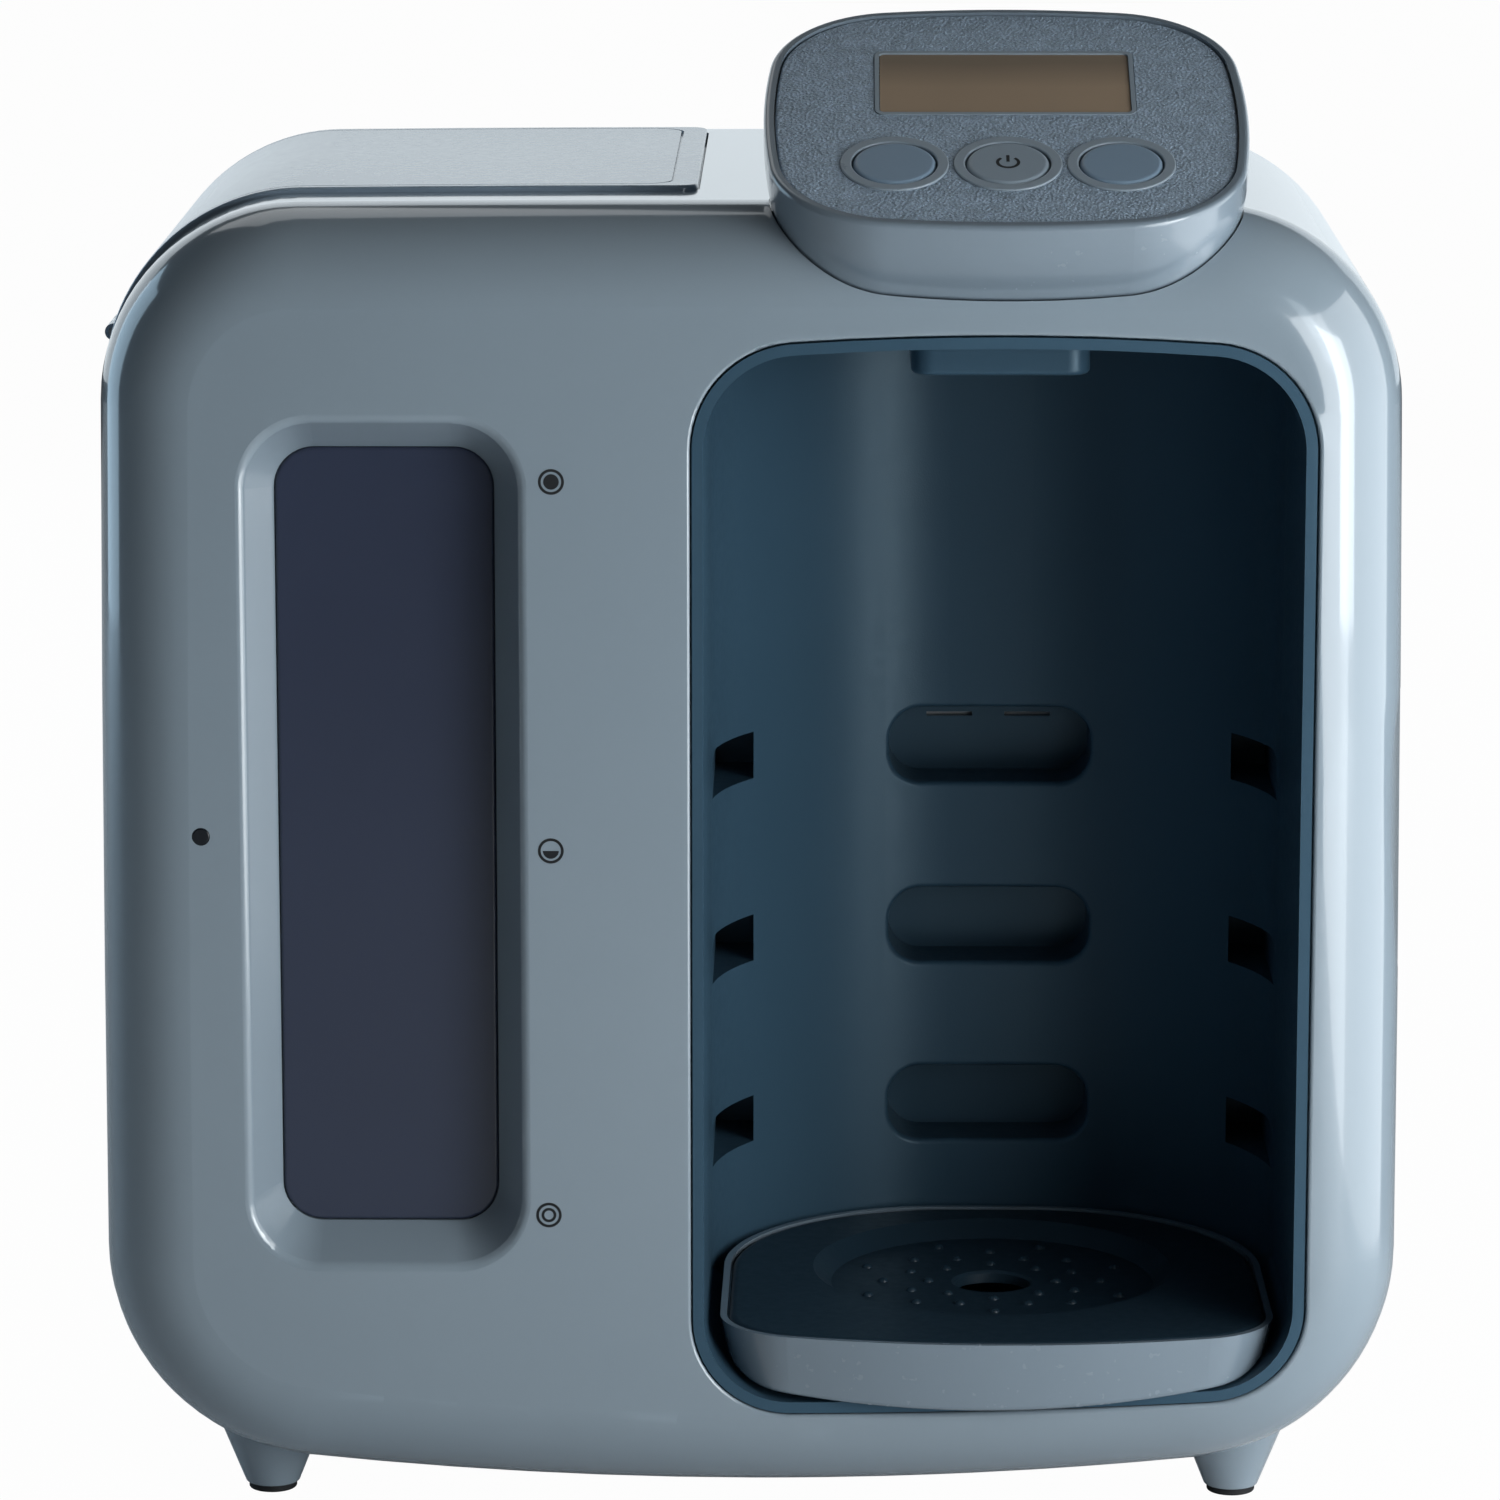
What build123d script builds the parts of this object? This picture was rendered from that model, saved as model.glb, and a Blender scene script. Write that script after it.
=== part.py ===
from build123d import *
import os
from math import cos, radians, sin, sqrt

# A free-standing machine that prepares baby formula: a rounded square body with a
# bottle bay on the right, a water tank under a lid on the left and a tilted control
# pod on top.  Millimetres.  X runs to the right, -Y out of the front, +Z up, and the
# origin lies on the floor below the middle of the machine.

os.makedirs("parts", exist_ok=True)

# ------------------------------------------------------------------ driving sizes
# body
BODY_W = 291.0              # over the sides
BODY_H = 291.5              # without the feet
FOOT_H = 8.0                # lowest point of the body above the floor
SHELL_D = 24.0              # front shell, from its face to the seam
HOUSING_D = 155.0           # rear housing, from the seam to its back
POD_OVERHANG = 14.0         # control pod in front of the face
WALL = 3.0                  # front shell and rear housing
SIDE_LEAN = 2.6             # how far each side leans in towards the top
SIDE_BOW = 0.7              # how far each side bulges in its middle
TOP_BOW = 1.2
BOTTOM_BOW = 11.0
TOP_CORNER_R = 44.0
BOTTOM_CORNER_R = 50.0
FACE_EDGE_R = 21.0          # rounding between the face and the sides
BACK_EDGE_R = 9.0
FIT = 0.3                   # gap between pieces that seat in each other
SEAM_LIP_T = 1.5            # lip of the front shell inside the housing
SEAM_LIP_L = 4.0

# bottle bay
BAY_SIDE = 21.2             # opening to the right side of the body
BAY_W = 137.4               # opening in the front shell
BAY_BOTTOM = 28.2           # lower left corner of the opening
BAY_BOTTOM_RISE = 4.2       # the lower edge climbs towards the right
BAY_BOTTOM_BOW = 1.2
BAY_TOP_DROP = 27.2         # top of the opening below the top of the body
BAY_TOP_BOW = 3.5
BAY_TOP_R = 24.0
BAY_BOTTOM_R = 22.0
BAY_D = 113.5               # from the face to the back wall
BAY_BACK_BOW = 2.0
BAY_BACK_R = 56.0           # vertical corners at the back of the bay
BAY_DRAFT = 0.9             # the bay is this much narrower at the back, each side
BAY_GAP = 0.4               # shadow line round the liner
BAY_EDGE_R = 0.8
LINER_WALL = 2.5
LINER_EDGE_R = 1.2          # soft edges of the rim, slots and pockets
LINER_SUNK = 0.2            # rim of the liner below the face
LINER_FLANGE_W = 3.0        # hidden flange behind the front shell
LINER_FLANGE_T = 2.0

# tray hook slots and side pockets of the liner, three levels
LEVEL_Z = 71.9              # middle of the lowest slot
LEVEL_PITCH = 43.7
LEVELS = 3
SLOT_W = 47.6
SLOT_H = 18.0
SLOT_R = 7.6
SLOT_D = 16.0
SLIT_W = 10.9               # two slits in the back of the top slot
SLIT_H = 1.0
SLIT_X = 9.3
SLIT_RISE = 4.4
POCKET_H = 11.1
POCKET_RISE = 2.3           # middle of a pocket above the middle of its slot
POCKET_INNER = 55.7         # from the middle of the bay to the pocket's inner edge
POCKET_FRONT = 62.0         # ends of a pocket behind the face of the machine
POCKET_BACK = 108.0
POCKET_R = 8.0              # upper front corner of a pocket

# level window
WINDOW_SIDE = 40.5          # window to the left side of the body
WINDOW_DROP = 53.5          # top of the window below the top of the body
WINDOW_RISE = 62.0          # foot of the window above the bottom of the body
WINDOW_W = 48.6
WINDOW_R = 9.0
WINDOW_T = 2.5
PANE_FLANGE_W = 1.6
RECESS_D = 12.0
RECESS_SPREAD_X = 6.2       # the recess is this much wider at the face, each side
RECESS_SPREAD_Z = 7.4
RECESS_EDGE_R = 2.4
LENS_SIDE = 24.3            # small round indicator lens to the left side of the body
LENS_RISE = 2.6             # above the middle of the window
LENS_R = 1.9
LENS_FLANGE_W = 1.5
LENS_FLANGE_T = 1.2

# control pod
POD_SHIFT = 0.6             # middle of the pod to the right of the middle of the bay
POD_W = 107.0
POD_L = 100.0               # along the slope
POD_TILT = 23.0             # slope of the panel
POD_FRONT_DROP = 1.9        # front edge of the rim below the top of the body
POD_DEPTH = 30.0
POD_BOW = 5.0
POD_CORNER_R = 29.0
POD_BOWL_R = 25.0           # rounding of the underside
POD_WALL = 4.5
POD_RIM_W = 2.3
POD_RIM_R = 1.2
NECK_W = 62.0
NECK_L = 34.0
NECK_R = 15.0
NECK_Y = 47.0               # middle of the neck behind the face
NECK_DROP = 10.9            # foot of the neck below the top of the body
PANEL_T = 2.2
PANEL_SUNK = 0.5            # panel below the rim

# display and buttons, placed on the panel
LCD_W = 57.8
LCD_H = 29.2
LCD_V = 15.3                # up the slope from the panel's middle
LCD_FRAME_W = 1.0
LCD_R = 2.2
BUTTON_V = -21.5
BUTTON_PITCH = 24.75
BUTTON_R = 9.1
BUTTON_TRAVEL = 1.2
RING_R = 11.9
RING_T = 1.2
RING_PROUD = 0.4
BOARD_DEPTH = 10.0          # top of the display board below the panel's plane
BOARD_T = 1.6
BOARD_W = 84.0
BOARD_L = 70.0
POST_R = 3.0

# tank, its well, and the lid
LID_SHIFT = 1.1             # right edge of the lid beyond the left edge of the bay
LID_FRONT = 14.2            # front edge of the lid behind the seam
LID_L = 125.4
LID_LAP = 3.2               # lid overlaps its opening by this much
LID_T = 1.5                 # lid below the surface of the body
LID_PROUD = 1.2             # lid above the surface of the body
LID_EDGE_R = 0.7
LID_PANEL_INSET = 5.4       # groove round the lid's panel, to its right edge
LID_PANEL_SIDE = 3.0        # and to its front and back edges
LID_GROOVE_W = 0.6
LID_GROOVE_D = 0.8
LID_CORNER_R = 4.0
LID_GAP = 0.4
HOOD_T = 1.8
RIM_DROP = 37.0             # rim of the tank, under the hood of the lid, below the top
WELL_WALL = 2.0
WELL_SKIRT = 33.5           # the well's floor is open this far from the left side
WELL_FLOOR_Z = 33.5         # top of the well's floor
TANK_GAP = 1.0              # tank to well
TANK_WALL = 2.5
TANK_CORNER_R = 7.0
HINGE_RISE = 4.4            # hinge axis above the rim of the tank
HINGE_IN = 2.3              # hinge axis inside the widest line of the body
HINGE_END = 15.0            # middle of an ear from the end of the lid
KNUCKLE_R = 1.9
HINGE_PIN_R = 1.0
PIN_PLAY = 0.05
EAR_L = 7.0
ARM_GAP = 0.6               # arm of an ear above the side of the body
ARM_T = 2.5
KNUCKLE_L = 5.0
KNUCKLE_GAP = 0.5
OUTLET_Y = 18.0
SPIGOT_R = 11.0
VALVE_R = 8.0
FILTER_R = 27.0
FILTER_H = 62.0

# tray
TRAY_SIDE_GAP = 3.2
TRAY_OVERHANG = 9.0         # in front of the face
TRAY_FRONT_R = 190.0        # bulge of the front edge, from above
TRAY_CORNER_R = 20.0
TRAY_RISE = 19.0            # top of the tray above the lower left edge of the opening
TRAY_RIM = 1.5
TRAY_LEDGE = 2.5
TRAY_WALL = 2.2
TRAY_TAPER = 12.0
APRON_GAP = 0.4             # front of the tray, which hangs over the edge of the opening
APRON_SIDE = 4.5            # ends of its lower edge above the middle
APRON_RISE = 2.7            # middle of its lower edge above the edge of the opening
APRON_CORNER_R = 18.0
APRON_EDGE_R = 1.4
PLATE_T = 2.8
PLATE_SUNK = 0.1
PLATE_EDGE_R = 1.9
DISH_R = 41.5
DISH_D = 3.8
DISH_Y = 57.4               # middle of the dish behind the face
DISH_TAPER = 48.0
DRAIN_R = 8.8
DRAIN_EDGE = 0.6
PIP_R = 1.4
PIP_H = 0.9
PIP_RINGS = [14.8, 20.4, 25.3, 31.3]
PIPS_PER_RING = 8

# nozzle
NOZZLE_W = 40.0
NOZZLE_L = 42.0
NOZZLE_H = 11.0             # below the ceiling of the bay
NOZZLE_Y = 57.0             # outlet behind the face
NOZZLE_R = 5.0
NOZZLE_NECK_R = 9.0
PORT_R = 3.6
PORT_L = 6.0
PORT_DROP = 17.5            # hose port below the top of the body
SPOUT_R = 6.0
SPOUT_PROUD = 2.0

# feet
FOOT_SIDE = 35.2            # middle of a foot to the side of the body
FOOT_FRONT_Y = 12.0         # behind the seam
FOOT_BACK_Y = 21.5          # in front of the back
FOOT_TOP_R = 13.4
FOOT_TIP_R = 6.1
FOOT_REACH = 20.0
PLUG_R = 3.0
PLUG_H = 3.0
PAD_R = 5.5
PAD_H = 1.6

# back cover
COVER_W = 118.0
COVER_SHIFT = 10.2          # middle of the cover to the right of the middle of the bay
COVER_RISE = 28.0           # foot of the cover above the bottom of the body
COVER_DROP = 31.5           # top of the cover below the top of the body
COVER_R = 12.0
COVER_LAP = 5.0
COVER_T = 1.6
VENT_W = 34.0
VENT_H = 2.6
VENT_PITCH = 6.0
VENT_ROWS = 9
VENT_GAP = 6.0
VENT_RISE = 58.0            # upper vents above the middle of the cover
VENT_FALL = 38.5            # lower vents below it
GLAND_SHIFT = 42.0          # cord gland to the right of the middle of the cover
GLAND_RISE = 42.0           # above the bottom of the body
GLAND_R = 6.5
GLAND_LIP_W = 2.0
GLAND_LIP_T = 2.5
CORD_W = 5.6
CORD_T = 3.4

# ------------------------------------------------------------------ worked-out places
BACK_Y = (POD_OVERHANG + SHELL_D + HOUSING_D) / 2
SEAM_Y = BACK_Y - HOUSING_D
FACE_Y = SEAM_Y - SHELL_D
BODY_TOP = FOOT_H + BODY_H
BAY_X = BODY_W / 2 - BAY_SIDE - BAY_W / 2
BAY_TOP = BODY_TOP - BAY_TOP_DROP
BAY_BACK_Y = FACE_Y + BAY_D
LINER_INSET = BAY_GAP + LINER_WALL
WINDOW_X = -BODY_W / 2 + WINDOW_SIDE + WINDOW_W / 2
WINDOW_H = BODY_H - WINDOW_DROP - WINDOW_RISE
WINDOW_Z = FOOT_H + WINDOW_RISE + WINDOW_H / 2
LENS_X = -BODY_W / 2 + LENS_SIDE
LENS_Z = WINDOW_Z + LENS_RISE
POD_X = BAY_X + POD_SHIFT
POD_FRONT_Z = BODY_TOP - POD_FRONT_DROP
NECK_BOTTOM = BODY_TOP - NECK_DROP
PORT_Z = BODY_TOP - PORT_DROP
RIM_Z = BODY_TOP - RIM_DROP
HINGE_Z = RIM_Z + HINGE_RISE
LID_RIGHT = BAY_X - BAY_W / 2 + LID_SHIFT
OUTLET_X = (LID_RIGHT - BODY_W / 2) / 2
LID_FRONT_Y = SEAM_Y + LID_FRONT
LID_BACK_Y = LID_FRONT_Y + LID_L
LID_MID_Y = (LID_FRONT_Y + LID_BACK_Y) / 2
FAR = 2 * BODY_W            # reach of tools that cut right through


def front_plane(y):
    """Plane across the machine at y, seen from the front: X right, Z up."""
    return Plane.XZ.offset(-y)


# ------------------------------------------------------------------ shared outlines
def body_outline(inset=0.0):
    """Rounded square of the body, with gently bowed sides, in X and Z."""
    low_x = BODY_W / 2
    high_x = low_x - SIDE_LEAN
    mid_x = (low_x + high_x) / 2 + SIDE_BOW
    top_z = BODY_TOP - TOP_BOW
    bottom_z = FOOT_H + BOTTOM_BOW
    mid_z = (top_z + bottom_z) / 2
    with BuildSketch() as outline:
        with BuildLine():
            ThreePointArc((-high_x, top_z), (0, BODY_TOP), (high_x, top_z))
            ThreePointArc((high_x, top_z), (mid_x, mid_z), (low_x, bottom_z))
            ThreePointArc((low_x, bottom_z), (0, FOOT_H), (-low_x, bottom_z))
            ThreePointArc((-low_x, bottom_z), (-mid_x, mid_z), (-high_x, top_z))
        make_face()
        if inset:
            offset(amount=-inset, kind=Kind.INTERSECTION)
        fillet(outline.vertices().sort_by(Axis.Y)[2:], TOP_CORNER_R - inset)
        fillet(outline.vertices().sort_by(Axis.Y)[:2], BOTTOM_CORNER_R - inset)
    return outline.sketch


def body_block(inset, from_y, to_y, end_r=0.0):
    """The body's outline from one depth to another, rounded at the far end."""
    with BuildPart() as block:
        with BuildSketch(front_plane(from_y)):
            add(body_outline(inset))
        extrude(amount=from_y - to_y)
        if end_r:
            end = block.faces().sort_by(Axis.Y)[0 if to_y < from_y else -1]
            fillet(end.edges(), end_r)
    return block.part


def bay_outline(inset=0.0):
    """Opening of the bottle bay seen from the front, in X and Z."""
    left, right = BAY_X - BAY_W / 2, BAY_X + BAY_W / 2
    top = BAY_TOP - BAY_TOP_BOW
    low_right = BAY_BOTTOM + BAY_BOTTOM_RISE
    low_middle = BAY_BOTTOM + BAY_BOTTOM_RISE / 2 - BAY_BOTTOM_BOW
    with BuildSketch() as outline:
        with BuildLine():
            ThreePointArc((left, top), (BAY_X, BAY_TOP), (right, top))
            Line((right, top), (right, low_right))
            ThreePointArc((right, low_right), (BAY_X, low_middle), (left, BAY_BOTTOM))
            Line((left, BAY_BOTTOM), (left, top))
        make_face()
        if inset:
            offset(amount=-inset, kind=Kind.INTERSECTION)
        fillet(outline.vertices().sort_by(Axis.Y)[2:], BAY_TOP_R - inset)
        fillet(outline.vertices().sort_by(Axis.Y)[:2], BAY_BOTTOM_R - inset)
    return outline.sketch


def bay_plan(grow=0.0):
    """Inside of the liner from above, open towards the front, in X and Y."""
    back_half = BAY_W / 2 - LINER_INSET - BAY_DRAFT
    front_half = back_half + 2 * BAY_DRAFT
    front_y = FACE_Y - BAY_D
    corner_y = BAY_BACK_Y - BAY_BACK_BOW
    with BuildSketch() as plan:
        with BuildLine():
            ThreePointArc((BAY_X - back_half, corner_y), (BAY_X, BAY_BACK_Y), (BAY_X + back_half, corner_y))
            Polyline(
                (BAY_X + back_half, corner_y),
                (BAY_X + front_half, front_y),
                (BAY_X - front_half, front_y),
                (BAY_X - back_half, corner_y),
            )
        make_face()
        if grow:
            offset(amount=grow, kind=Kind.INTERSECTION)
        fillet(plan.vertices().sort_by(Axis.Y)[-2:], BAY_BACK_R + grow)
    return plan.sketch


def bay_form(plan_grow, outline_inset):
    """The bay as a solid: its plan and its front outline, one cut by the other."""
    with BuildPart() as form:
        with BuildSketch(front_plane(FACE_Y)):
            add(bay_outline(outline_inset))
        extrude(amount=-(BAY_D + 2 * LINER_WALL))
        with BuildSketch(Plane.XY):
            add(bay_plan(plan_grow))
        extrude(amount=BODY_TOP, mode=Mode.INTERSECT)
    return form.part


def pod_plane(depth=0.0):
    """Plane of the pod's rim: X right, Y up the slope, Z out of the panel."""
    tilt = radians(POD_TILT)
    middle_y = FACE_Y - POD_OVERHANG + POD_L / 2 * cos(tilt)
    middle_z = POD_FRONT_Z + POD_L / 2 * sin(tilt)
    rim = Plane(origin=(POD_X, middle_y, middle_z), x_dir=(1, 0, 0), z_dir=(0, -sin(tilt), cos(tilt)))
    return rim.offset(-depth)


POD_AXIS = Axis(pod_plane().origin, pod_plane().z_dir)


def pod_outline(inset=0.0):
    """Soft square of the pod's rim, on the plane of the panel."""
    half_w, half_l = POD_W / 2, POD_L / 2
    corner_x, corner_y = half_w - POD_BOW, half_l - POD_BOW
    with BuildSketch() as outline:
        with BuildLine():
            ThreePointArc((-corner_x, corner_y), (0, half_l), (corner_x, corner_y))
            ThreePointArc((corner_x, corner_y), (half_w, 0), (corner_x, -corner_y))
            ThreePointArc((corner_x, -corner_y), (0, -half_l), (-corner_x, -corner_y))
            ThreePointArc((-corner_x, -corner_y), (-half_w, 0), (-corner_x, corner_y))
        make_face()
        if inset:
            offset(amount=-inset, kind=Kind.INTERSECTION)
        fillet(outline.vertices(), POD_CORNER_R - inset)
    return outline.sketch


def pod_bowl(inset, depth, bowl_r):
    """Bowl that hangs below the rim of the pod."""
    with BuildPart() as bowl:
        with BuildSketch(pod_plane()):
            add(pod_outline(inset))
        extrude(amount=-depth)
        fillet(bowl.faces().sort_by(POD_AXIS)[0].edges(), bowl_r)
    return bowl.part


def pod_neck(grow=0.0):
    """Upright neck between the pod's underside and the top of the body."""
    with BuildPart() as neck:
        with BuildSketch(Plane.XY.offset(NECK_BOTTOM)):
            with Locations((POD_X, FACE_Y + NECK_Y)):
                RectangleRounded(NECK_W + 2 * grow, NECK_L + 2 * grow, NECK_R + grow)
        extrude(amount=POD_FRONT_Z + POD_L / 4 * sin(radians(POD_TILT)) - NECK_BOTTOM)
    return neck.part


def upright_block(min_x, max_x, min_y, max_y, min_z, max_z, corner_r=0.0):
    """Upright block with rounded vertical edges."""
    with BuildPart() as block:
        with BuildSketch(Plane.XY.offset(min_z)):
            with Locations(((min_x + max_x) / 2, (min_y + max_y) / 2)):
                if corner_r:
                    RectangleRounded(max_x - min_x, max_y - min_y, corner_r)
                else:
                    Rectangle(max_x - min_x, max_y - min_y)
        extrude(amount=max_z - min_z)
    return block.part


def hose(points, outer_r, inner_r, bends):
    """Hose along straight runs that are joined by tangent arcs."""
    with BuildPart() as tube:
        with BuildLine():
            route = FilletPolyline(*points, radius=bends)
        with BuildSketch(Plane(route @ 0, z_dir=route % 0)):
            Circle(outer_r)
            Circle(inner_r, mode=Mode.SUBTRACT)
        sweep()
    return tube.part


def save(piece, name):
    """Label a finished piece and write it to its own file."""
    piece.part.label = name
    export_step(piece.part, f"parts/{name}.step")


# ------------------------------------------------------------------ front shell
shell_outer = body_block(0, SEAM_Y, FACE_Y, FACE_EDGE_R)
shell_inner = body_block(WALL, SEAM_Y, FACE_Y + WALL, FACE_EDGE_R - WALL)
pod_seat = pod_bowl(-FIT, POD_DEPTH + FIT, POD_BOWL_R)
neck_seat = pod_neck(FIT)


def recess_block(grow, depth):
    """Window recess as a solid, wider at the face than at its floor."""
    with BuildPart() as block:
        with BuildSketch(front_plane(FACE_Y)):
            with Locations((WINDOW_X, WINDOW_Z)):
                RectangleRounded(
                    WINDOW_W + 2 * (RECESS_SPREAD_X + grow), WINDOW_H + 2 * (RECESS_SPREAD_Z + grow),
                    WINDOW_R + RECESS_SPREAD_X + grow,
                )
        with BuildSketch(front_plane(FACE_Y + depth)):
            with Locations((WINDOW_X, WINDOW_Z)):
                RectangleRounded(WINDOW_W + 2 * grow, WINDOW_H + 2 * grow, WINDOW_R + grow)
        loft(ruled=True)
    return block.part


recess_outer = recess_block(WALL, RECESS_D + WALL)
recess_inner = recess_block(0, RECESS_D)

with BuildPart() as front_shell:
    add(shell_outer)
    add(shell_inner, mode=Mode.SUBTRACT)
    add(recess_outer)
    add(recess_inner, mode=Mode.SUBTRACT)
    # the pane shows through the floor of the recess
    with BuildSketch(front_plane(FACE_Y)):
        with Locations((WINDOW_X, WINDOW_Z)):
            RectangleRounded(WINDOW_W, WINDOW_H, WINDOW_R)
    extrude(amount=-(RECESS_D + 2 * WALL), mode=Mode.SUBTRACT)
    # soft edge round the recess
    recess_edge = (
        front_shell.faces().sort_by(Axis.Y)[0].inner_wires().edges()
    )
    fillet(recess_edge, RECESS_EDGE_R)
    # lip that locates the shell inside the housing
    with BuildSketch(front_plane(SEAM_Y + SEAM_LIP_L)):
        add(body_outline(WALL + FIT))
        add(body_outline(WALL + FIT + SEAM_LIP_T), mode=Mode.SUBTRACT)
    extrude(amount=SEAM_LIP_L + WALL)
    with BuildSketch(front_plane(SEAM_Y - WALL)):
        add(body_outline(WALL))
        add(body_outline(WALL + FIT + SEAM_LIP_T), mode=Mode.SUBTRACT)
    extrude(amount=-WALL)
    # opening of the bottle bay, with a soft edge
    with BuildSketch(front_plane(FACE_Y)):
        add(bay_outline())
    extrude(amount=-3 * WALL, mode=Mode.SUBTRACT)
    opening_edges = front_shell.edges(Select.LAST).filter_by(lambda edge: edge.center().Y < FACE_Y + WALL / 2)
    fillet(opening_edges, BAY_EDGE_R)
    add(pod_seat, mode=Mode.SUBTRACT)
    with BuildSketch(front_plane(FACE_Y)):
        with Locations((LENS_X, LENS_Z)):
            Circle(LENS_R + FIT / 3)
    extrude(amount=-2 * WALL, mode=Mode.SUBTRACT)
save(front_shell, "front_shell")

# ------------------------------------------------------------------ indicator lens
with BuildPart() as indicator_lens:
    with BuildSketch(front_plane(FACE_Y)):
        with Locations((LENS_X, LENS_Z)):
            Circle(LENS_R)
    extrude(amount=-WALL)
    with BuildSketch(front_plane(FACE_Y + WALL)):
        with Locations((LENS_X, LENS_Z)):
            Circle(LENS_R + LENS_FLANGE_W)
    extrude(amount=-LENS_FLANGE_T)
    fillet(indicator_lens.faces().sort_by(Axis.Y)[0].edges(), FIT)
save(indicator_lens, "indicator_lens")

# ------------------------------------------------------------------ level window
with BuildPart() as level_window:
    with BuildSketch(front_plane(FACE_Y + RECESS_D)):
        with Locations((WINDOW_X, WINDOW_Z)):
            RectangleRounded(WINDOW_W - FIT, WINDOW_H - FIT, WINDOW_R - FIT / 2)
    extrude(amount=-WALL)
    with BuildSketch(front_plane(FACE_Y + RECESS_D + WALL)):
        with Locations((WINDOW_X, WINDOW_Z)):
            RectangleRounded(
                WINDOW_W + 2 * PANE_FLANGE_W, WINDOW_H + 2 * PANE_FLANGE_W, WINDOW_R + PANE_FLANGE_W
            )
    extrude(amount=-WINDOW_T)
    fillet(level_window.faces().sort_by(Axis.Y)[0].edges(), 0.8)
save(level_window, "level_window")

# ------------------------------------------------------------------ rear housing
COVER_X = BAY_X + COVER_SHIFT
COVER_H = BODY_H - COVER_RISE - COVER_DROP
COVER_Z = FOOT_H + COVER_RISE + COVER_H / 2
GLAND_X = COVER_X + GLAND_SHIFT
GLAND_Z = FOOT_H + GLAND_RISE
housing_outer = body_block(0, SEAM_Y, BACK_Y, BACK_EDGE_R)
housing_inner = body_block(WALL, SEAM_Y, BACK_Y - WALL, BACK_EDGE_R - WALL)
hatch_cut = upright_block(
    -FAR, LID_RIGHT - LID_LAP + LID_GAP, LID_FRONT_Y + LID_LAP - LID_GAP, LID_BACK_Y - LID_LAP + LID_GAP,
    RIM_Z + LID_GAP, BODY_TOP + WALL, LID_CORNER_R,
)
# notch beside the hinge, in which the end of the lid swings
hinge_notch = upright_block(
    -FAR, -BODY_W / 2 + HINGE_IN + 3 * WALL, LID_FRONT_Y - LID_GAP, LID_BACK_Y + LID_GAP,
    RIM_Z, HINGE_Z + WALL,
)
# rebate in which the edge of the lid lies
with BuildPart() as lid_rebate:
    with BuildSketch(Plane.XY.offset(RIM_Z + LID_GAP)):
        with Locations(((LID_RIGHT + LID_GAP - FAR) / 2, LID_MID_Y)):
            RectangleRounded(FAR + LID_RIGHT + LID_GAP, LID_L + 2 * LID_GAP, LID_CORNER_R + LID_GAP)
    extrude(amount=BODY_TOP - RIM_Z)
    with BuildSketch(front_plane(SEAM_Y)):
        add(body_outline(LID_T + FIT))
    extrude(amount=-HOUSING_D, mode=Mode.SUBTRACT)

with BuildPart() as rear_housing:
    add(housing_outer)
    add(housing_inner, mode=Mode.SUBTRACT)
    add(hatch_cut, mode=Mode.SUBTRACT)
    add(hinge_notch, mode=Mode.SUBTRACT)
    add(lid_rebate.part, mode=Mode.SUBTRACT)
    add(pod_seat, mode=Mode.SUBTRACT)
    add(neck_seat, mode=Mode.SUBTRACT)
    # opening behind the works, with a rebate for the cover
    with BuildSketch(front_plane(BACK_Y)):
        with Locations((COVER_X, COVER_Z)):
            RectangleRounded(COVER_W, COVER_H, COVER_R)
    extrude(amount=WALL * 2, mode=Mode.SUBTRACT)
    with BuildSketch(front_plane(BACK_Y)):
        with Locations((COVER_X, COVER_Z)):
            RectangleRounded(COVER_W + 2 * COVER_LAP, COVER_H + 2 * COVER_LAP, COVER_R + COVER_LAP)
    extrude(amount=COVER_T, mode=Mode.SUBTRACT)
save(rear_housing, "rear_housing")

# ------------------------------------------------------------------ back cover
with BuildPart() as back_cover:
    with BuildSketch(front_plane(BACK_Y)):
        with Locations((COVER_X, COVER_Z)):
            RectangleRounded(
                COVER_W + 2 * COVER_LAP - 2 * FIT,
                COVER_H + 2 * COVER_LAP - 2 * FIT,
                COVER_R + COVER_LAP - FIT,
            )
    extrude(amount=COVER_T)
    with BuildSketch(front_plane(BACK_Y)):
        with Locations((GLAND_X, GLAND_Z)):
            Circle(GLAND_R + FIT / 3)
    extrude(amount=COVER_T, mode=Mode.SUBTRACT)
    with BuildSketch(front_plane(BACK_Y - COVER_T)):
        with Locations((COVER_X, COVER_Z)):
            RectangleRounded(COVER_W - 2 * FIT, COVER_H - 2 * FIT, COVER_R - FIT)
            RectangleRounded(
                COVER_W - 2 * FIT - 2 * WALL, COVER_H - 2 * FIT - 2 * WALL, COVER_R - WALL, mode=Mode.SUBTRACT
            )
    extrude(amount=WALL)
    # vents, high and low
    for vent_z in (COVER_Z + VENT_RISE, COVER_Z - VENT_FALL):
        with BuildSketch(front_plane(BACK_Y)):
            with Locations((COVER_X, vent_z)):
                with GridLocations(VENT_W + VENT_GAP, VENT_PITCH, 2, VENT_ROWS):
                    SlotOverall(VENT_W, VENT_H)
        extrude(amount=COVER_T, mode=Mode.SUBTRACT)
save(back_cover, "back_cover")

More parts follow.
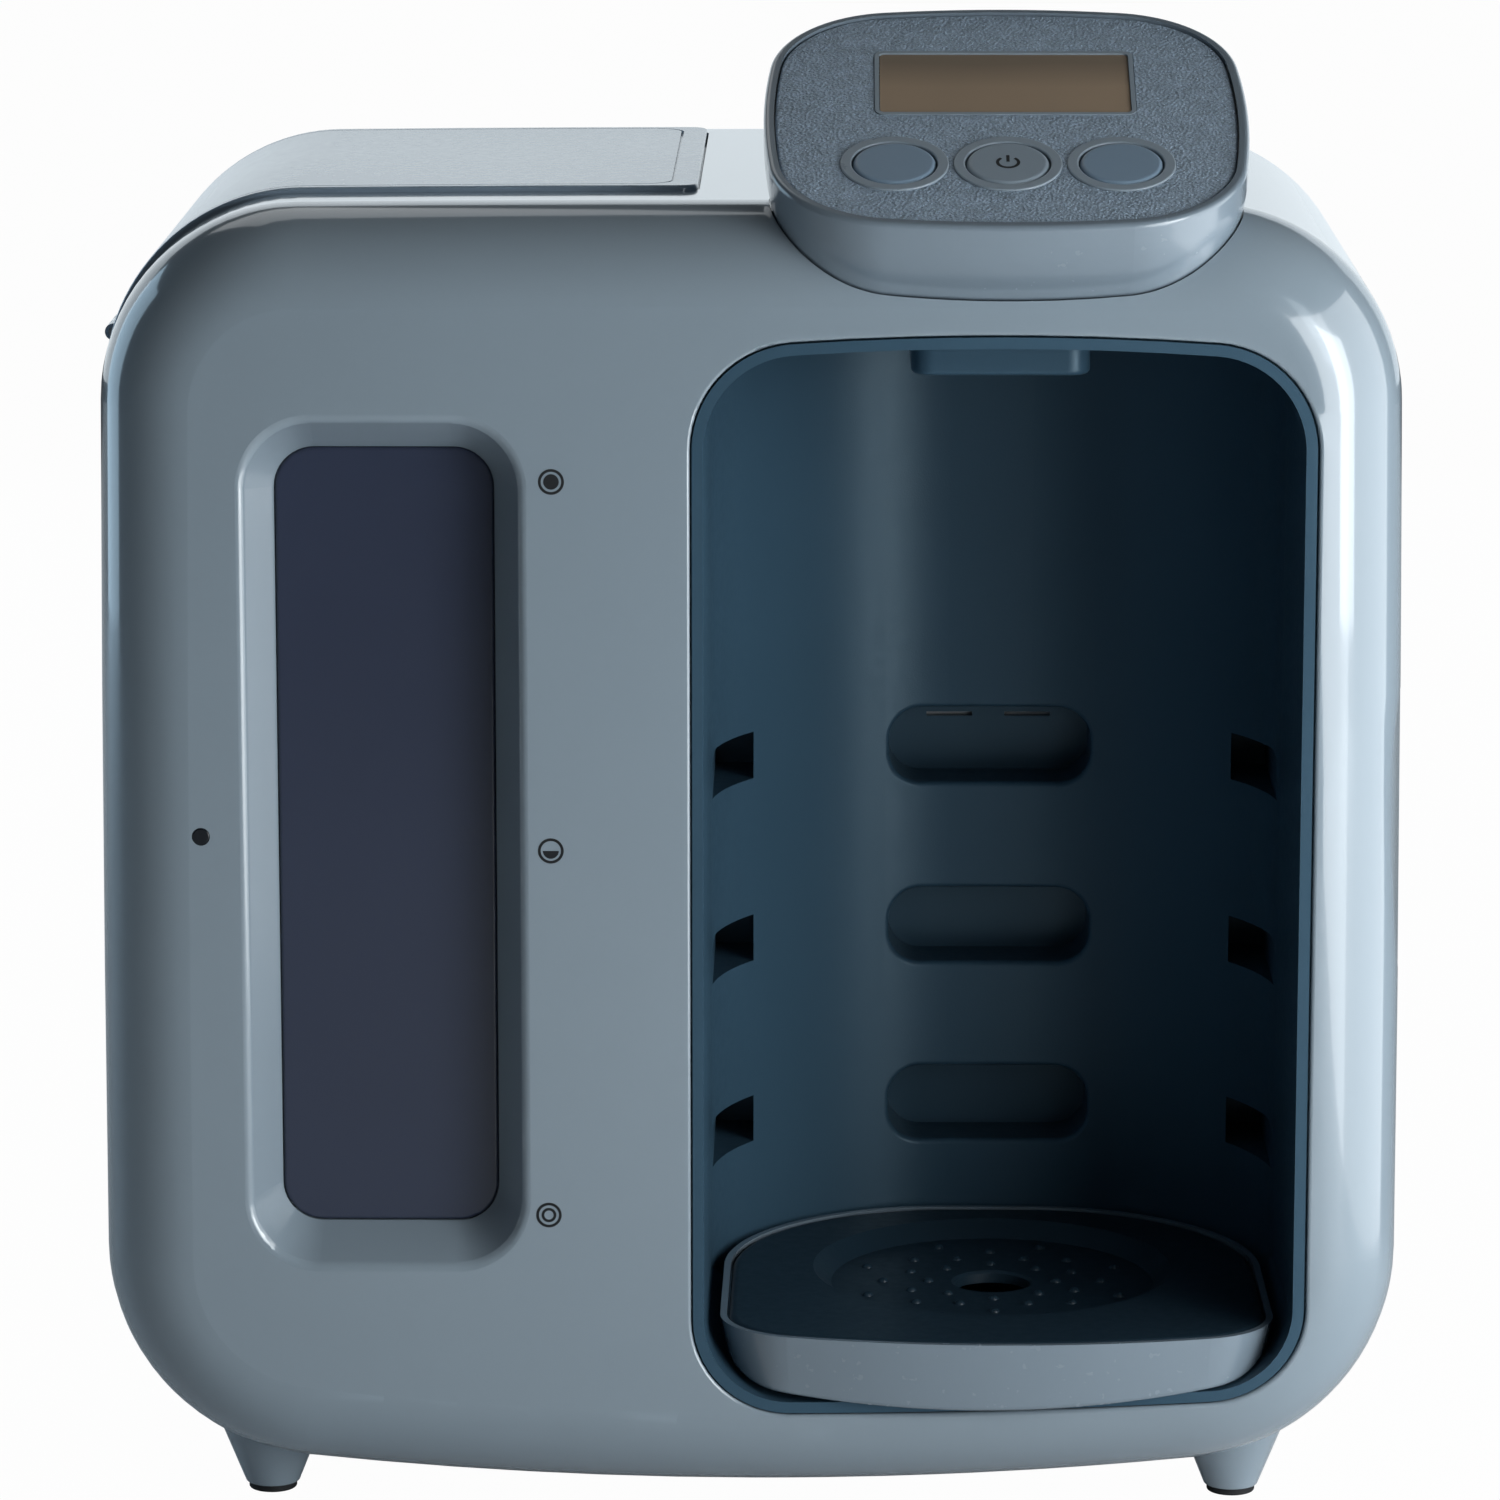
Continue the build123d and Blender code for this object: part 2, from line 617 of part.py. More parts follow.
# ------------------------------------------------------------------ bay liner
liner_outer = bay_form(LINER_WALL, BAY_GAP)
liner_inner = bay_form(0, LINER_INSET)
liner_room = body_block(LINER_SUNK, BACK_Y, FACE_Y + LINER_SUNK, FACE_EDGE_R - LINER_SUNK)
flange_room = body_block(WALL + FIT, SEAM_Y, FACE_Y + WALL, FACE_EDGE_R - WALL - FIT)
level_heights = [LEVEL_Z + LEVEL_PITCH * level for level in range(LEVELS)]
pocket_outer = BAY_W / 2 - LINER_INSET - BAY_DRAFT
nozzle_y = FACE_Y + NOZZLE_Y


def pocket_block(side, height, grow=0.0):
    """Pocket beside the bay, with a rounded upper front corner."""
    inner = POCKET_INNER - grow
    front, back = FACE_Y + POCKET_FRONT - grow, FACE_Y + POCKET_BACK + grow
    low, high = height - POCKET_H / 2 - grow, height + POCKET_H / 2 + grow
    with BuildPart() as block:
        with BuildSketch(Plane.YZ.offset(BAY_X + side * inner)) as profile:
            with BuildLine():
                Polyline((front, low), (back, low), (back, high), (front, high), close=True)
            make_face()
            fillet(profile.vertices().group_by(Axis.X)[0].sort_by(Axis.Y)[-1], POCKET_R + grow)
        extrude(amount=side * (pocket_outer + grow - inner))
    return block.part


with BuildPart() as liner_flange:
    with BuildSketch(front_plane(FACE_Y + WALL)):
        add(bay_outline(-LINER_FLANGE_W))
    extrude(amount=-LINER_FLANGE_T)
    add(flange_room, mode=Mode.INTERSECT)

with BuildPart() as bay_liner:
    add(liner_outer)
    # walls behind the slots and round the pockets
    for height in level_heights:
        with BuildSketch(front_plane(BAY_BACK_Y + SLOT_D + LINER_WALL)):
            with Locations((BAY_X, height)):
                RectangleRounded(SLOT_W + 2 * LINER_WALL, SLOT_H + 2 * LINER_WALL, SLOT_R + LINER_WALL)
        extrude(amount=SLOT_D + 2 * LINER_WALL)
        for side in (-1, 1):
            add(pocket_block(side, height + POCKET_RISE, LINER_WALL))
    add(liner_flange.part)
    add(liner_inner, mode=Mode.SUBTRACT)
    add(liner_room, mode=Mode.INTERSECT)
    # hook slots
    for height in level_heights:
        with BuildSketch(front_plane(BAY_BACK_Y + SLOT_D)):
            with Locations((BAY_X, height)):
                RectangleRounded(SLOT_W, SLOT_H, SLOT_R)
        extrude(amount=SLOT_D + 2 * BAY_BACK_BOW, mode=Mode.SUBTRACT)
        slot_rim = bay_liner.edges(Select.LAST).filter_by(lambda edge: edge.center().Y < BAY_BACK_Y + FIT)
        fillet(slot_rim, LINER_EDGE_R)
    # side pockets
    for height in level_heights:
        for side in (-1, 1):
            add(pocket_block(side, height + POCKET_RISE), mode=Mode.SUBTRACT)
    # two slits in the back of the top slot
    with BuildSketch(front_plane(BAY_BACK_Y + SLOT_D + 2 * LINER_WALL)):
        with Locations((BAY_X, level_heights[-1] + SLIT_RISE)):
            with GridLocations(2 * SLIT_X, 1, 2, 1):
                Rectangle(SLIT_W, SLIT_H)
    extrude(amount=3 * LINER_WALL, mode=Mode.SUBTRACT)
    # hole for the neck of the nozzle in the ceiling
    with BuildSketch(Plane.XY.offset(BODY_TOP)):
        with Locations((BAY_X, nozzle_y)):
            Circle(NOZZLE_NECK_R + FIT)
    extrude(amount=-(BODY_TOP - BAY_TOP + BAY_TOP_R), mode=Mode.SUBTRACT)
save(bay_liner, "bay_liner")

# ------------------------------------------------------------------ nozzle
ceiling_z = BAY_TOP - LINER_INSET
NOZZLE_BOTTOM = ceiling_z - NOZZLE_H
port_y = nozzle_y + NOZZLE_NECK_R + PORT_L
with BuildPart() as nozzle_block:
    with BuildSketch(Plane.XY.offset(NOZZLE_BOTTOM)):
        with Locations((BAY_X, nozzle_y)):
            RectangleRounded(NOZZLE_W, NOZZLE_L, NOZZLE_R)
    extrude(amount=NOZZLE_H)
    # the block's top follows the arched ceiling
    with BuildSketch(front_plane(FACE_Y)):
        add(bay_outline(LINER_INSET + FIT))
    extrude(amount=-BAY_D, mode=Mode.INTERSECT)
    fillet(nozzle_block.faces().sort_by(Axis.Z)[0].edges(), 1.2)
    with BuildSketch(Plane.XY.offset(NOZZLE_BOTTOM)):
        with Locations((BAY_X, nozzle_y)):
            Circle(NOZZLE_NECK_R)
    extrude(amount=PORT_Z + 1.5 * PORT_R - NOZZLE_BOTTOM)
    # port that takes the hose, at the back of the neck
    with BuildSketch(front_plane(port_y)):
        with Locations((BAY_X, PORT_Z)):
            Circle(PORT_R)
    extrude(amount=port_y - nozzle_y)
    with BuildSketch(Plane.XY.offset(NOZZLE_BOTTOM)):
        with Locations((BAY_X, nozzle_y)):
            Circle(SPOUT_R)
    extrude(amount=NOZZLE_H, mode=Mode.SUBTRACT)
save(nozzle_block, "nozzle_block")

with BuildPart() as spout:
    with BuildSketch(Plane.XY.offset(NOZZLE_BOTTOM - SPOUT_PROUD)):
        with Locations((BAY_X, nozzle_y)):
            Circle(SPOUT_R - FIT / 3)
            Circle(SPOUT_R / 3, mode=Mode.SUBTRACT)
    extrude(amount=SPOUT_PROUD + NOZZLE_H)
    fillet(spout.faces().sort_by(Axis.Z)[0].outer_wire().edges(), 1.0)
save(spout, "spout")

# ------------------------------------------------------------------ pod body
with BuildPart() as pod_body:
    add(pod_bowl(0, POD_DEPTH, POD_BOWL_R))
    fillet(pod_body.faces().sort_by(POD_AXIS)[-1].edges(), POD_RIM_R)
    add(pod_neck())
    add(pod_bowl(POD_WALL, POD_DEPTH - POD_WALL, POD_BOWL_R - POD_WALL), mode=Mode.SUBTRACT)
    # seat of the panel
    with BuildSketch(pod_plane()):
        add(pod_outline(POD_RIM_W))
    extrude(amount=-(PANEL_SUNK + PANEL_T), mode=Mode.SUBTRACT)
    # way for the wires through the neck
    with BuildSketch(Plane.XY.offset(NECK_BOTTOM)):
        with Locations((POD_X, FACE_Y + NECK_Y)):
            Circle(NECK_L / 4)
    extrude(amount=POD_DEPTH, mode=Mode.SUBTRACT)
save(pod_body, "pod_body")

# ------------------------------------------------------------------ panel
RING_SEAT_D = RING_T - RING_PROUD
LCD_SEAT_D = 1.4
button_places = [(BUTTON_PITCH * n, BUTTON_V) for n in (-1, 0, 1)]
with BuildPart() as panel_plate:
    with BuildSketch(pod_plane(PANEL_SUNK)):
        add(pod_outline(POD_RIM_W + FIT))
    extrude(amount=-PANEL_T)
    fillet(panel_plate.faces().sort_by(POD_AXIS)[-1].edges(), 0.6)
    with BuildSketch(pod_plane(PANEL_SUNK)):
        with Locations((0, LCD_V)):
            RectangleRounded(LCD_W + FIT, LCD_H + FIT, LCD_R)
    extrude(amount=-LCD_SEAT_D, mode=Mode.SUBTRACT)
    with BuildSketch(pod_plane(PANEL_SUNK)):
        with Locations((0, LCD_V)):
            RectangleRounded(LCD_W - 4 * LCD_FRAME_W, LCD_H - 4 * LCD_FRAME_W, LCD_R)
        with Locations(*button_places):
            Circle(BUTTON_R + FIT)
    extrude(amount=-PANEL_T, mode=Mode.SUBTRACT)
    with BuildSketch(pod_plane(PANEL_SUNK)):
        with Locations(*button_places):
            Circle(RING_R + FIT / 3)
    extrude(amount=-RING_SEAT_D, mode=Mode.SUBTRACT)
    # posts that carry the display board
    with BuildSketch(pod_plane(PANEL_SUNK + PANEL_T)):
        with GridLocations(BOARD_W - 4 * POST_R, BOARD_L - 4 * POST_R, 2, 2):
            Circle(POST_R)
    extrude(amount=-(BOARD_DEPTH - PANEL_SUNK - PANEL_T))
save(panel_plate, "panel_plate")

# ------------------------------------------------------------------ display
with BuildPart() as display_frame:
    with BuildSketch(pod_plane(PANEL_SUNK + LCD_SEAT_D)):
        with Locations((0, LCD_V)):
            RectangleRounded(LCD_W, LCD_H, LCD_R)
            RectangleRounded(
                LCD_W - 2 * LCD_FRAME_W, LCD_H - 2 * LCD_FRAME_W, LCD_R - LCD_FRAME_W, mode=Mode.SUBTRACT
            )
    extrude(amount=LCD_SEAT_D + 0.2)
save(display_frame, "display_frame")

with BuildPart() as display_window:
    with BuildSketch(pod_plane(PANEL_SUNK + LCD_SEAT_D)):
        with Locations((0, LCD_V)):
            RectangleRounded(
                LCD_W - 2 * LCD_FRAME_W - FIT, LCD_H - 2 * LCD_FRAME_W - FIT, LCD_R - LCD_FRAME_W
            )
    extrude(amount=LCD_SEAT_D - 0.1)
save(display_window, "display_window")

with BuildPart() as display_module:
    with BuildSketch(pod_plane(BOARD_DEPTH)):
        with Locations((0, LCD_V)):
            Rectangle(LCD_W, LCD_H)
    extrude(amount=BOARD_DEPTH - PANEL_SUNK - PANEL_T - FIT)
save(display_module, "display_module")

with BuildPart() as display_board:
    with BuildSketch(pod_plane(BOARD_DEPTH)):
        RectangleRounded(BOARD_W, BOARD_L, POST_R)
    extrude(amount=-BOARD_T)
save(display_board, "display_board")

MAT_T = 0.6
DOME_H = 1.6
with BuildPart() as key_mat:
    with BuildSketch(pod_plane(BOARD_DEPTH)):
        with Locations((0, BUTTON_V)):
            Rectangle(2 * BUTTON_PITCH + 2 * BUTTON_R, BUTTON_R)
    extrude(amount=MAT_T)
    with BuildSketch(pod_plane(BOARD_DEPTH)):
        with Locations(*button_places):
            Circle(BUTTON_R * 0.6)
    extrude(amount=DOME_H)
save(key_mat, "key_mat")

# ------------------------------------------------------------------ buttons
FLANGE_T = 1.0
FLANGE_LAP = 1.2
CROWN = 0.5
STEM_R = 3.0
KEY_GAP = 0.2
button_names = ["left_button", "power_button", "right_button"]
for name, place in zip(button_names, button_places):
    with BuildPart() as button:
        flange_top = PANEL_SUNK + PANEL_T + KEY_GAP
        with BuildSketch(pod_plane(flange_top + FLANGE_T)):
            with Locations(place):
                Circle(BUTTON_R + FLANGE_LAP)
        extrude(amount=FLANGE_T)
        with BuildSketch(pod_plane(flange_top + FLANGE_T)):
            with Locations(place):
                Circle(BUTTON_R)
        extrude(amount=flange_top + FLANGE_T - PANEL_SUNK + CROWN)
        fillet(button.faces().sort_by(POD_AXIS)[-1].edges(), 1.1)
        with BuildSketch(pod_plane(flange_top + FLANGE_T)):
            with Locations(place):
                Circle(STEM_R)
        extrude(amount=-(BOARD_DEPTH - DOME_H - BUTTON_TRAVEL - KEY_GAP - flange_top - FLANGE_T))
    save(button, name)

ring_names = ["left_button_ring", "power_button_ring", "right_button_ring"]
for name, place in zip(ring_names, button_places):
    with BuildPart() as ring:
        with BuildSketch(pod_plane(PANEL_SUNK + RING_SEAT_D)):
            with Locations(place):
                Circle(RING_R)
                Circle(BUTTON_R + FIT, mode=Mode.SUBTRACT)
        extrude(amount=RING_T)
        fillet(ring.faces().sort_by(POD_AXIS)[-1].edges(), 0.35)
    save(ring, name)

# ------------------------------------------------------------------ tank well
well_right = LID_RIGHT - LID_LAP + LID_GAP
well_front = LID_FRONT_Y + LID_LAP - LID_GAP - 0.6
well_back = LID_BACK_Y - LID_LAP + LID_GAP + 0.6
WELL_SOCKET_R = SPIGOT_R + 1.0


def body_slice(inset, min_x, max_x, min_y, max_y, min_z, max_z, corner_r=0.0):
    """Upright block inside the body's outline."""
    with BuildPart() as piece:
        with BuildSketch(front_plane(max_y)):
            add(body_outline(inset))
        extrude(amount=max_y - min_y)
        add(upright_block(min_x, max_x, min_y, max_y, min_z, max_z, corner_r), mode=Mode.INTERSECT)
    return piece.part


well_shell = body_slice(
    WALL + FIT, -BODY_W, well_right + WELL_WALL, well_front - WELL_WALL, well_back + WELL_WALL, 0, BODY_TOP
)
well_inside = body_slice(
    WALL + FIT + WELL_WALL, -BODY_W, well_right, well_front, well_back, WELL_FLOOR_Z, BODY_TOP
)
well_below = upright_block(
    -BODY_W / 2 + WELL_SKIRT, FAR, well_front, well_back, 0, WELL_FLOOR_Z - WELL_WALL
)
well_mouth = upright_block(-BODY_W, well_right, well_front, well_back, RIM_Z, BODY_TOP)

with BuildPart() as tank_well:
    add(well_shell)
    add(well_inside, mode=Mode.SUBTRACT)
    add(well_mouth, mode=Mode.SUBTRACT)
    add(well_below, mode=Mode.SUBTRACT)
    # slot through which the window shows the water
    with BuildSketch(front_plane(well_front)):
        with Locations((WINDOW_X, WINDOW_Z)):
            RectangleRounded(WINDOW_W, WINDOW_H, WINDOW_R)
    extrude(amount=2 * WELL_WALL, mode=Mode.SUBTRACT)
    with BuildSketch(Plane.XY.offset(WELL_FLOOR_Z)):
        with Locations((OUTLET_X, OUTLET_Y)):
            Circle(WELL_SOCKET_R + WELL_WALL + FIT)
    extrude(amount=-2 * WELL_WALL, mode=Mode.SUBTRACT)
save(tank_well, "tank_well")

# ------------------------------------------------------------------ tank dock
DOCK_FLOOR_Z = 25.0
DOCK_BOTTOM_Z = 16.0
PROBE_H = 1.6
HOSE_R = 3.5
HOSE_BORE_R = 2.0
NIPPLE_Z = 19.6
NIPPLE_L = 8.0
with BuildPart() as tank_dock:
    with BuildSketch(Plane.XY.offset(DOCK_BOTTOM_Z)):
        with Locations((OUTLET_X, OUTLET_Y)):
            Circle(WELL_SOCKET_R + WELL_WALL)
    extrude(amount=WELL_FLOOR_Z - DOCK_BOTTOM_Z)
    # collar that carries the dock under the floor of the well
    with BuildSketch(Plane.XY.offset(WELL_FLOOR_Z - WELL_WALL)):
        with Locations((OUTLET_X, OUTLET_Y)):
            Circle(WELL_SOCKET_R + 4 * WELL_WALL)
    extrude(amount=-WELL_WALL)
    with BuildSketch(Plane.XY.offset(DOCK_FLOOR_Z)):
        with Locations((OUTLET_X, OUTLET_Y)):
            Circle(WELL_SOCKET_R)
    extrude(amount=WELL_FLOOR_Z - DOCK_FLOOR_Z, mode=Mode.SUBTRACT)
    # probe that opens the tank's valve
    with BuildSketch(Plane.XY.offset(DOCK_FLOOR_Z)):
        with Locations((OUTLET_X, OUTLET_Y)):
            Circle(2.0)
    extrude(amount=PROBE_H)
    with BuildSketch(Plane.YZ.offset(OUTLET_X)):
        with Locations((OUTLET_Y, NIPPLE_Z)):
            Circle(HOSE_R)
    extrude(amount=WELL_SOCKET_R + WELL_WALL + NIPPLE_L)
save(tank_dock, "tank_dock")

# ------------------------------------------------------------------ tank
tank_inset = WALL + FIT + WELL_WALL + TANK_GAP
tank_right = well_right - TANK_GAP
tank_front = well_front + TANK_GAP
tank_back = well_back - TANK_GAP
tank_floor = WELL_FLOOR_Z + TANK_GAP / 2
SEAT_HOLE_R = 6.0
SPIGOT_H = 5.5
spigot_bottom = tank_floor - SPIGOT_H
hinge_x = -BODY_W / 2 + HINGE_IN
hinge_stations = [LID_FRONT_Y + HINGE_END, LID_BACK_Y - HINGE_END]
# the left wall stands straight, clear of the well's mouth, where the body leans and turns in
mouth_rise = RIM_Z + LID_GAP - (BODY_TOP - TOP_BOW - TOP_CORNER_R)
mouth_inset = SIDE_LEAN + TOP_CORNER_R - sqrt(TOP_CORNER_R**2 - mouth_rise**2)
tank_left = -BODY_W / 2 + tank_inset + mouth_inset

tank_shell = body_slice(
    tank_inset, tank_left, tank_right, tank_front, tank_back, tank_floor, RIM_Z, TANK_CORNER_R
)
tank_inside = body_slice(
    tank_inset + TANK_WALL, tank_left + TANK_WALL, tank_right - TANK_WALL, tank_front + TANK_WALL,
    tank_back - TANK_WALL, tank_floor + TANK_WALL, RIM_Z, TANK_CORNER_R - TANK_WALL,
)

with BuildPart() as tank:
    add(tank_shell)
    add(tank_inside, mode=Mode.SUBTRACT)
    # outlet spigot with the valve's seat
    with BuildSketch(Plane.XY.offset(spigot_bottom)):
        with Locations((OUTLET_X, OUTLET_Y)):
            Circle(SPIGOT_R)
    extrude(amount=SPIGOT_H + TANK_WALL)
    with BuildSketch(Plane.XY.offset(spigot_bottom)):
        with Locations((OUTLET_X, OUTLET_Y)):
            Circle(SEAT_HOLE_R)
    extrude(amount=SPIGOT_H + TANK_WALL, mode=Mode.SUBTRACT)
    with BuildSketch(Plane.XY.offset(spigot_bottom + WELL_WALL)):
        with Locations((OUTLET_X, OUTLET_Y)):
            Circle(VALVE_R + 1.0)
    extrude(amount=SPIGOT_H + TANK_WALL, mode=Mode.SUBTRACT)
    # arms over the side of the body, and the ears that hold the lid's pins
    for station in hinge_stations:
        with BuildSketch(front_plane(station + EAR_L / 2)):
            with Locations((hinge_x, HINGE_Z)):
                Circle(KNUCKLE_R)
            with Locations((hinge_x, RIM_Z + LID_GAP + ARM_GAP)):
                Rectangle(tank_left + 2 * TANK_WALL - hinge_x, ARM_T, align=Align.MIN)
            with Locations((hinge_x, HINGE_Z)):
                Circle(HINGE_PIN_R, mode=Mode.SUBTRACT)
        extrude(amount=EAR_L)
        # leg of the ear, standing on the wall of the tank
        add(
            body_slice(
                tank_inset, tank_left, tank_left + 2 * TANK_WALL, station - EAR_L / 2, station + EAR_L / 2,
                RIM_Z - ARM_T, RIM_Z + LID_GAP + ARM_GAP + ARM_T,
            )
        )
save(tank, "tank")

# ------------------------------------------------------------------ tank valve
SEAT_Z = spigot_bottom + WELL_WALL
with BuildPart() as tank_valve:
    with BuildSketch(Plane.XY.offset(SEAT_Z)):
        with Locations((OUTLET_X, OUTLET_Y)):
            Circle(VALVE_R)
    extrude(amount=2.0)
    fillet(tank_valve.edges(), 0.4)
    with BuildSketch(Plane.XY.offset(SEAT_Z)):
        with Locations((OUTLET_X, OUTLET_Y)):
            Circle(VALVE_R / 3)
    extrude(amount=DOCK_FLOOR_Z + PROBE_H + FIT - SEAT_Z)
save(tank_valve, "tank_valve")

# ------------------------------------------------------------------ water filter
FILTER_WALL = 2.0
FILTER_FOOT_Z = tank_floor + TANK_WALL
FILTER_CAP_H = 9.0
FILTER_WINDOWS = 10
with BuildPart() as filter_basket:
    with BuildSketch(Plane.XY.offset(FILTER_FOOT_Z)):
        with Locations((OUTLET_X, OUTLET_Y)):
            Circle(FILTER_R)
            Circle(VALVE_R + 1.0, mode=Mode.SUBTRACT)
    extrude(amount=FILTER_WALL)
    with BuildSketch(Plane.XY.offset(FILTER_FOOT_Z)):
        with Locations((OUTLET_X, OUTLET_Y)):
            Circle(FILTER_R)
            Circle(FILTER_R - FILTER_WALL, mode=Mode.SUBTRACT)
    extrude(amount=FILTER_H)
    # tall windows all round the basket
    with Locations((OUTLET_X, OUTLET_Y, FILTER_FOOT_Z + FILTER_H / 2)):
        with PolarLocations(FILTER_R, FILTER_WINDOWS):
            Box(4 * FILTER_WALL, FILTER_R / 3, FILTER_H * 0.6, mode=Mode.SUBTRACT)
save(filter_basket, "filter_basket")

with BuildPart() as filter_cartridge:
    with BuildSketch(Plane.XY.offset(FILTER_FOOT_Z + FILTER_WALL)):
        with Locations((OUTLET_X, OUTLET_Y)):
            Circle(FILTER_R - FILTER_WALL - FIT)
    extrude(amount=FILTER_H - 2 * FILTER_WALL)
    chamfer(filter_cartridge.edges(), 1.5)
save(filter_cartridge, "filter_cartridge")

with BuildPart() as filter_cap:
    with BuildSketch(Plane.XY.offset(FILTER_FOOT_Z + FILTER_H + FIT)):
        with Locations((OUTLET_X, OUTLET_Y)):
            Circle(FILTER_R + FILTER_WALL + FIT)
    extrude(amount=FILTER_WALL)
    with BuildSketch(Plane.XY.offset(FILTER_FOOT_Z + FILTER_H + FIT)):
        with Locations((OUTLET_X, OUTLET_Y)):
            Circle(FILTER_R + FILTER_WALL + FIT)
            Circle(FILTER_R + FIT, mode=Mode.SUBTRACT)
    extrude(amount=-FILTER_CAP_H)
    # grip across the cap
    with BuildSketch(Plane.XY.offset(FILTER_FOOT_Z + FILTER_H + FIT + FILTER_WALL)):
        with Locations((OUTLET_X, OUTLET_Y)):
            SlotOverall(FILTER_R, FILTER_WALL * 2)
    extrude(amount=FILTER_CAP_H)
    fillet(filter_cap.faces().sort_by(Axis.Z)[-1].edges(), 0.8)
save(filter_cap, "filter_cap")

# ------------------------------------------------------------------ lid
lid_edge_z = RIM_Z + LID_GAP + FIT


def lid_plan(side_inset, right_inset, corner_r):
    """The lid from above; it runs out over the left side."""
    with BuildSketch() as plan:
        with Locations(((LID_RIGHT - right_inset - FAR) / 2, LID_MID_Y)):
            RectangleRounded(FAR + LID_RIGHT - right_inset, LID_L - 2 * side_inset, corner_r)
    return plan.sketch


with BuildPart() as lid_form:
    with BuildSketch(front_plane(LID_BACK_Y)):
        add(body_outline(-LID_PROUD))
        add(body_outline(LID_T), mode=Mode.SUBTRACT)
    extrude(amount=LID_L)
    with BuildSketch(Plane.XY.offset(lid_edge_z)):
        add(lid_plan(0, 0, LID_CORNER_R))
    extrude(amount=BODY_H, mode=Mode.INTERSECT)
    upper_face = lid_form.faces().sort_by(Axis.Z)[-1]
    upper_edges = upper_face.edges().filter_by(lambda edge: edge.center().X > tank_left)
    # the front, back and right edges of the flat part
    rounded_edges = upper_edges.filter_by(
        lambda edge: abs(edge.center().Y - LID_MID_Y) > FIT or edge.center().X > OUTLET_X
    )
    fillet(rounded_edges, LID_EDGE_R)
# groove that parts the lid's panel from its frame
with BuildPart() as lid_groove:
    with BuildSketch(front_plane(LID_BACK_Y)):
        add(body_outline(-2 * LID_PROUD))
        add(body_outline(LID_GROOVE_D - LID_PROUD), mode=Mode.SUBTRACT)
    extrude(amount=LID_L)
    with BuildSketch(Plane.XY.offset(lid_edge_z - FIT)):
        add(lid_plan(LID_PANEL_SIDE, LID_PANEL_INSET, 2 * LID_CORNER_R))
        groove_inside = lid_plan(
            LID_PANEL_SIDE + LID_GROOVE_W, LID_PANEL_INSET + LID_GROOVE_W, 2 * LID_CORNER_R - LID_GROOVE_W
        )
        add(groove_inside, mode=Mode.SUBTRACT)
    extrude(amount=BODY_H, mode=Mode.INTERSECT)
hood_right = LID_RIGHT - LID_LAP
hood_front = LID_FRONT_Y + LID_LAP
hood_back = LID_BACK_Y - LID_LAP
hood_outer = body_slice(
    LID_T / 2, -BODY_W, hood_right, hood_front, hood_back, lid_edge_z, BODY_TOP, LID_CORNER_R
)
inside_lid = body_slice(
    LID_T, -BODY_W, hood_right - HOOD_T, hood_front + HOOD_T, hood_back - HOOD_T, 0, BODY_TOP,
    LID_CORNER_R - HOOD_T,
)

with BuildPart() as tank_lid:
    add(lid_form.part)
    add(lid_groove.part, mode=Mode.SUBTRACT)
    add(hood_outer)
    add(inside_lid, mode=Mode.SUBTRACT)
    for station in hinge_stations:
        # knuckles on both sides of each ear, on short webs
        for side in (-1, 1):
            middle = station + side * (EAR_L / 2 + KNUCKLE_GAP + KNUCKLE_L / 2)
            with BuildSketch(front_plane(middle + KNUCKLE_L / 2)):
                with Locations((hinge_x, HINGE_Z)):
                    Circle(KNUCKLE_R)
                    Rectangle(2 * KNUCKLE_R, KNUCKLE_R, align=Align.MIN)
            extrude(amount=KNUCKLE_L)
            with BuildSketch(front_plane(middle + KNUCKLE_L / 2)):
                with Locations((hinge_x, HINGE_Z)):
                    Circle(HINGE_PIN_R + PIN_PLAY)
            extrude(amount=KNUCKLE_L, mode=Mode.SUBTRACT)
        # room for the ear and its arm
        add(
            upright_block(
                -BODY_W, tank_left + 2 * TANK_WALL, station - EAR_L / 2 - KNUCKLE_GAP,
                station + EAR_L / 2 + KNUCKLE_GAP, 0, HINGE_Z + KNUCKLE_R + KNUCKLE_GAP,
            ),
            mode=Mode.SUBTRACT,
        )
save(tank_lid, "tank_lid")

with BuildPart() as lid_hinge_pins:
    for station in hinge_stations:
        pin_half = EAR_L / 2 + KNUCKLE_GAP + KNUCKLE_L
        with BuildSketch(front_plane(station + pin_half)):
            with Locations((hinge_x, HINGE_Z)):
                Circle(HINGE_PIN_R)
        extrude(amount=2 * pin_half)
save(lid_hinge_pins, "lid_hinge_pins")

# ------------------------------------------------------------------ tray
DISH_PLACE = (BAY_X, FACE_Y + DISH_Y)
TRAY_TOP = BAY_BOTTOM + TRAY_RISE
PLATE_Z = TRAY_TOP - PLATE_T - PLATE_SUNK


def tray_plan(inset=0.0):
    """Tray from above: the bay's plan with a bulging front edge."""
    with BuildSketch() as plan:
        add(bay_plan(-TRAY_SIDE_GAP - inset))
        with Locations((BAY_X, FACE_Y - TRAY_OVERHANG + TRAY_FRONT_R)):
            Circle(TRAY_FRONT_R - inset, mode=Mode.INTERSECT)
        fillet(plan.vertices().sort_by(Axis.Y)[:2], TRAY_CORNER_R - inset)
    return plan.sketch


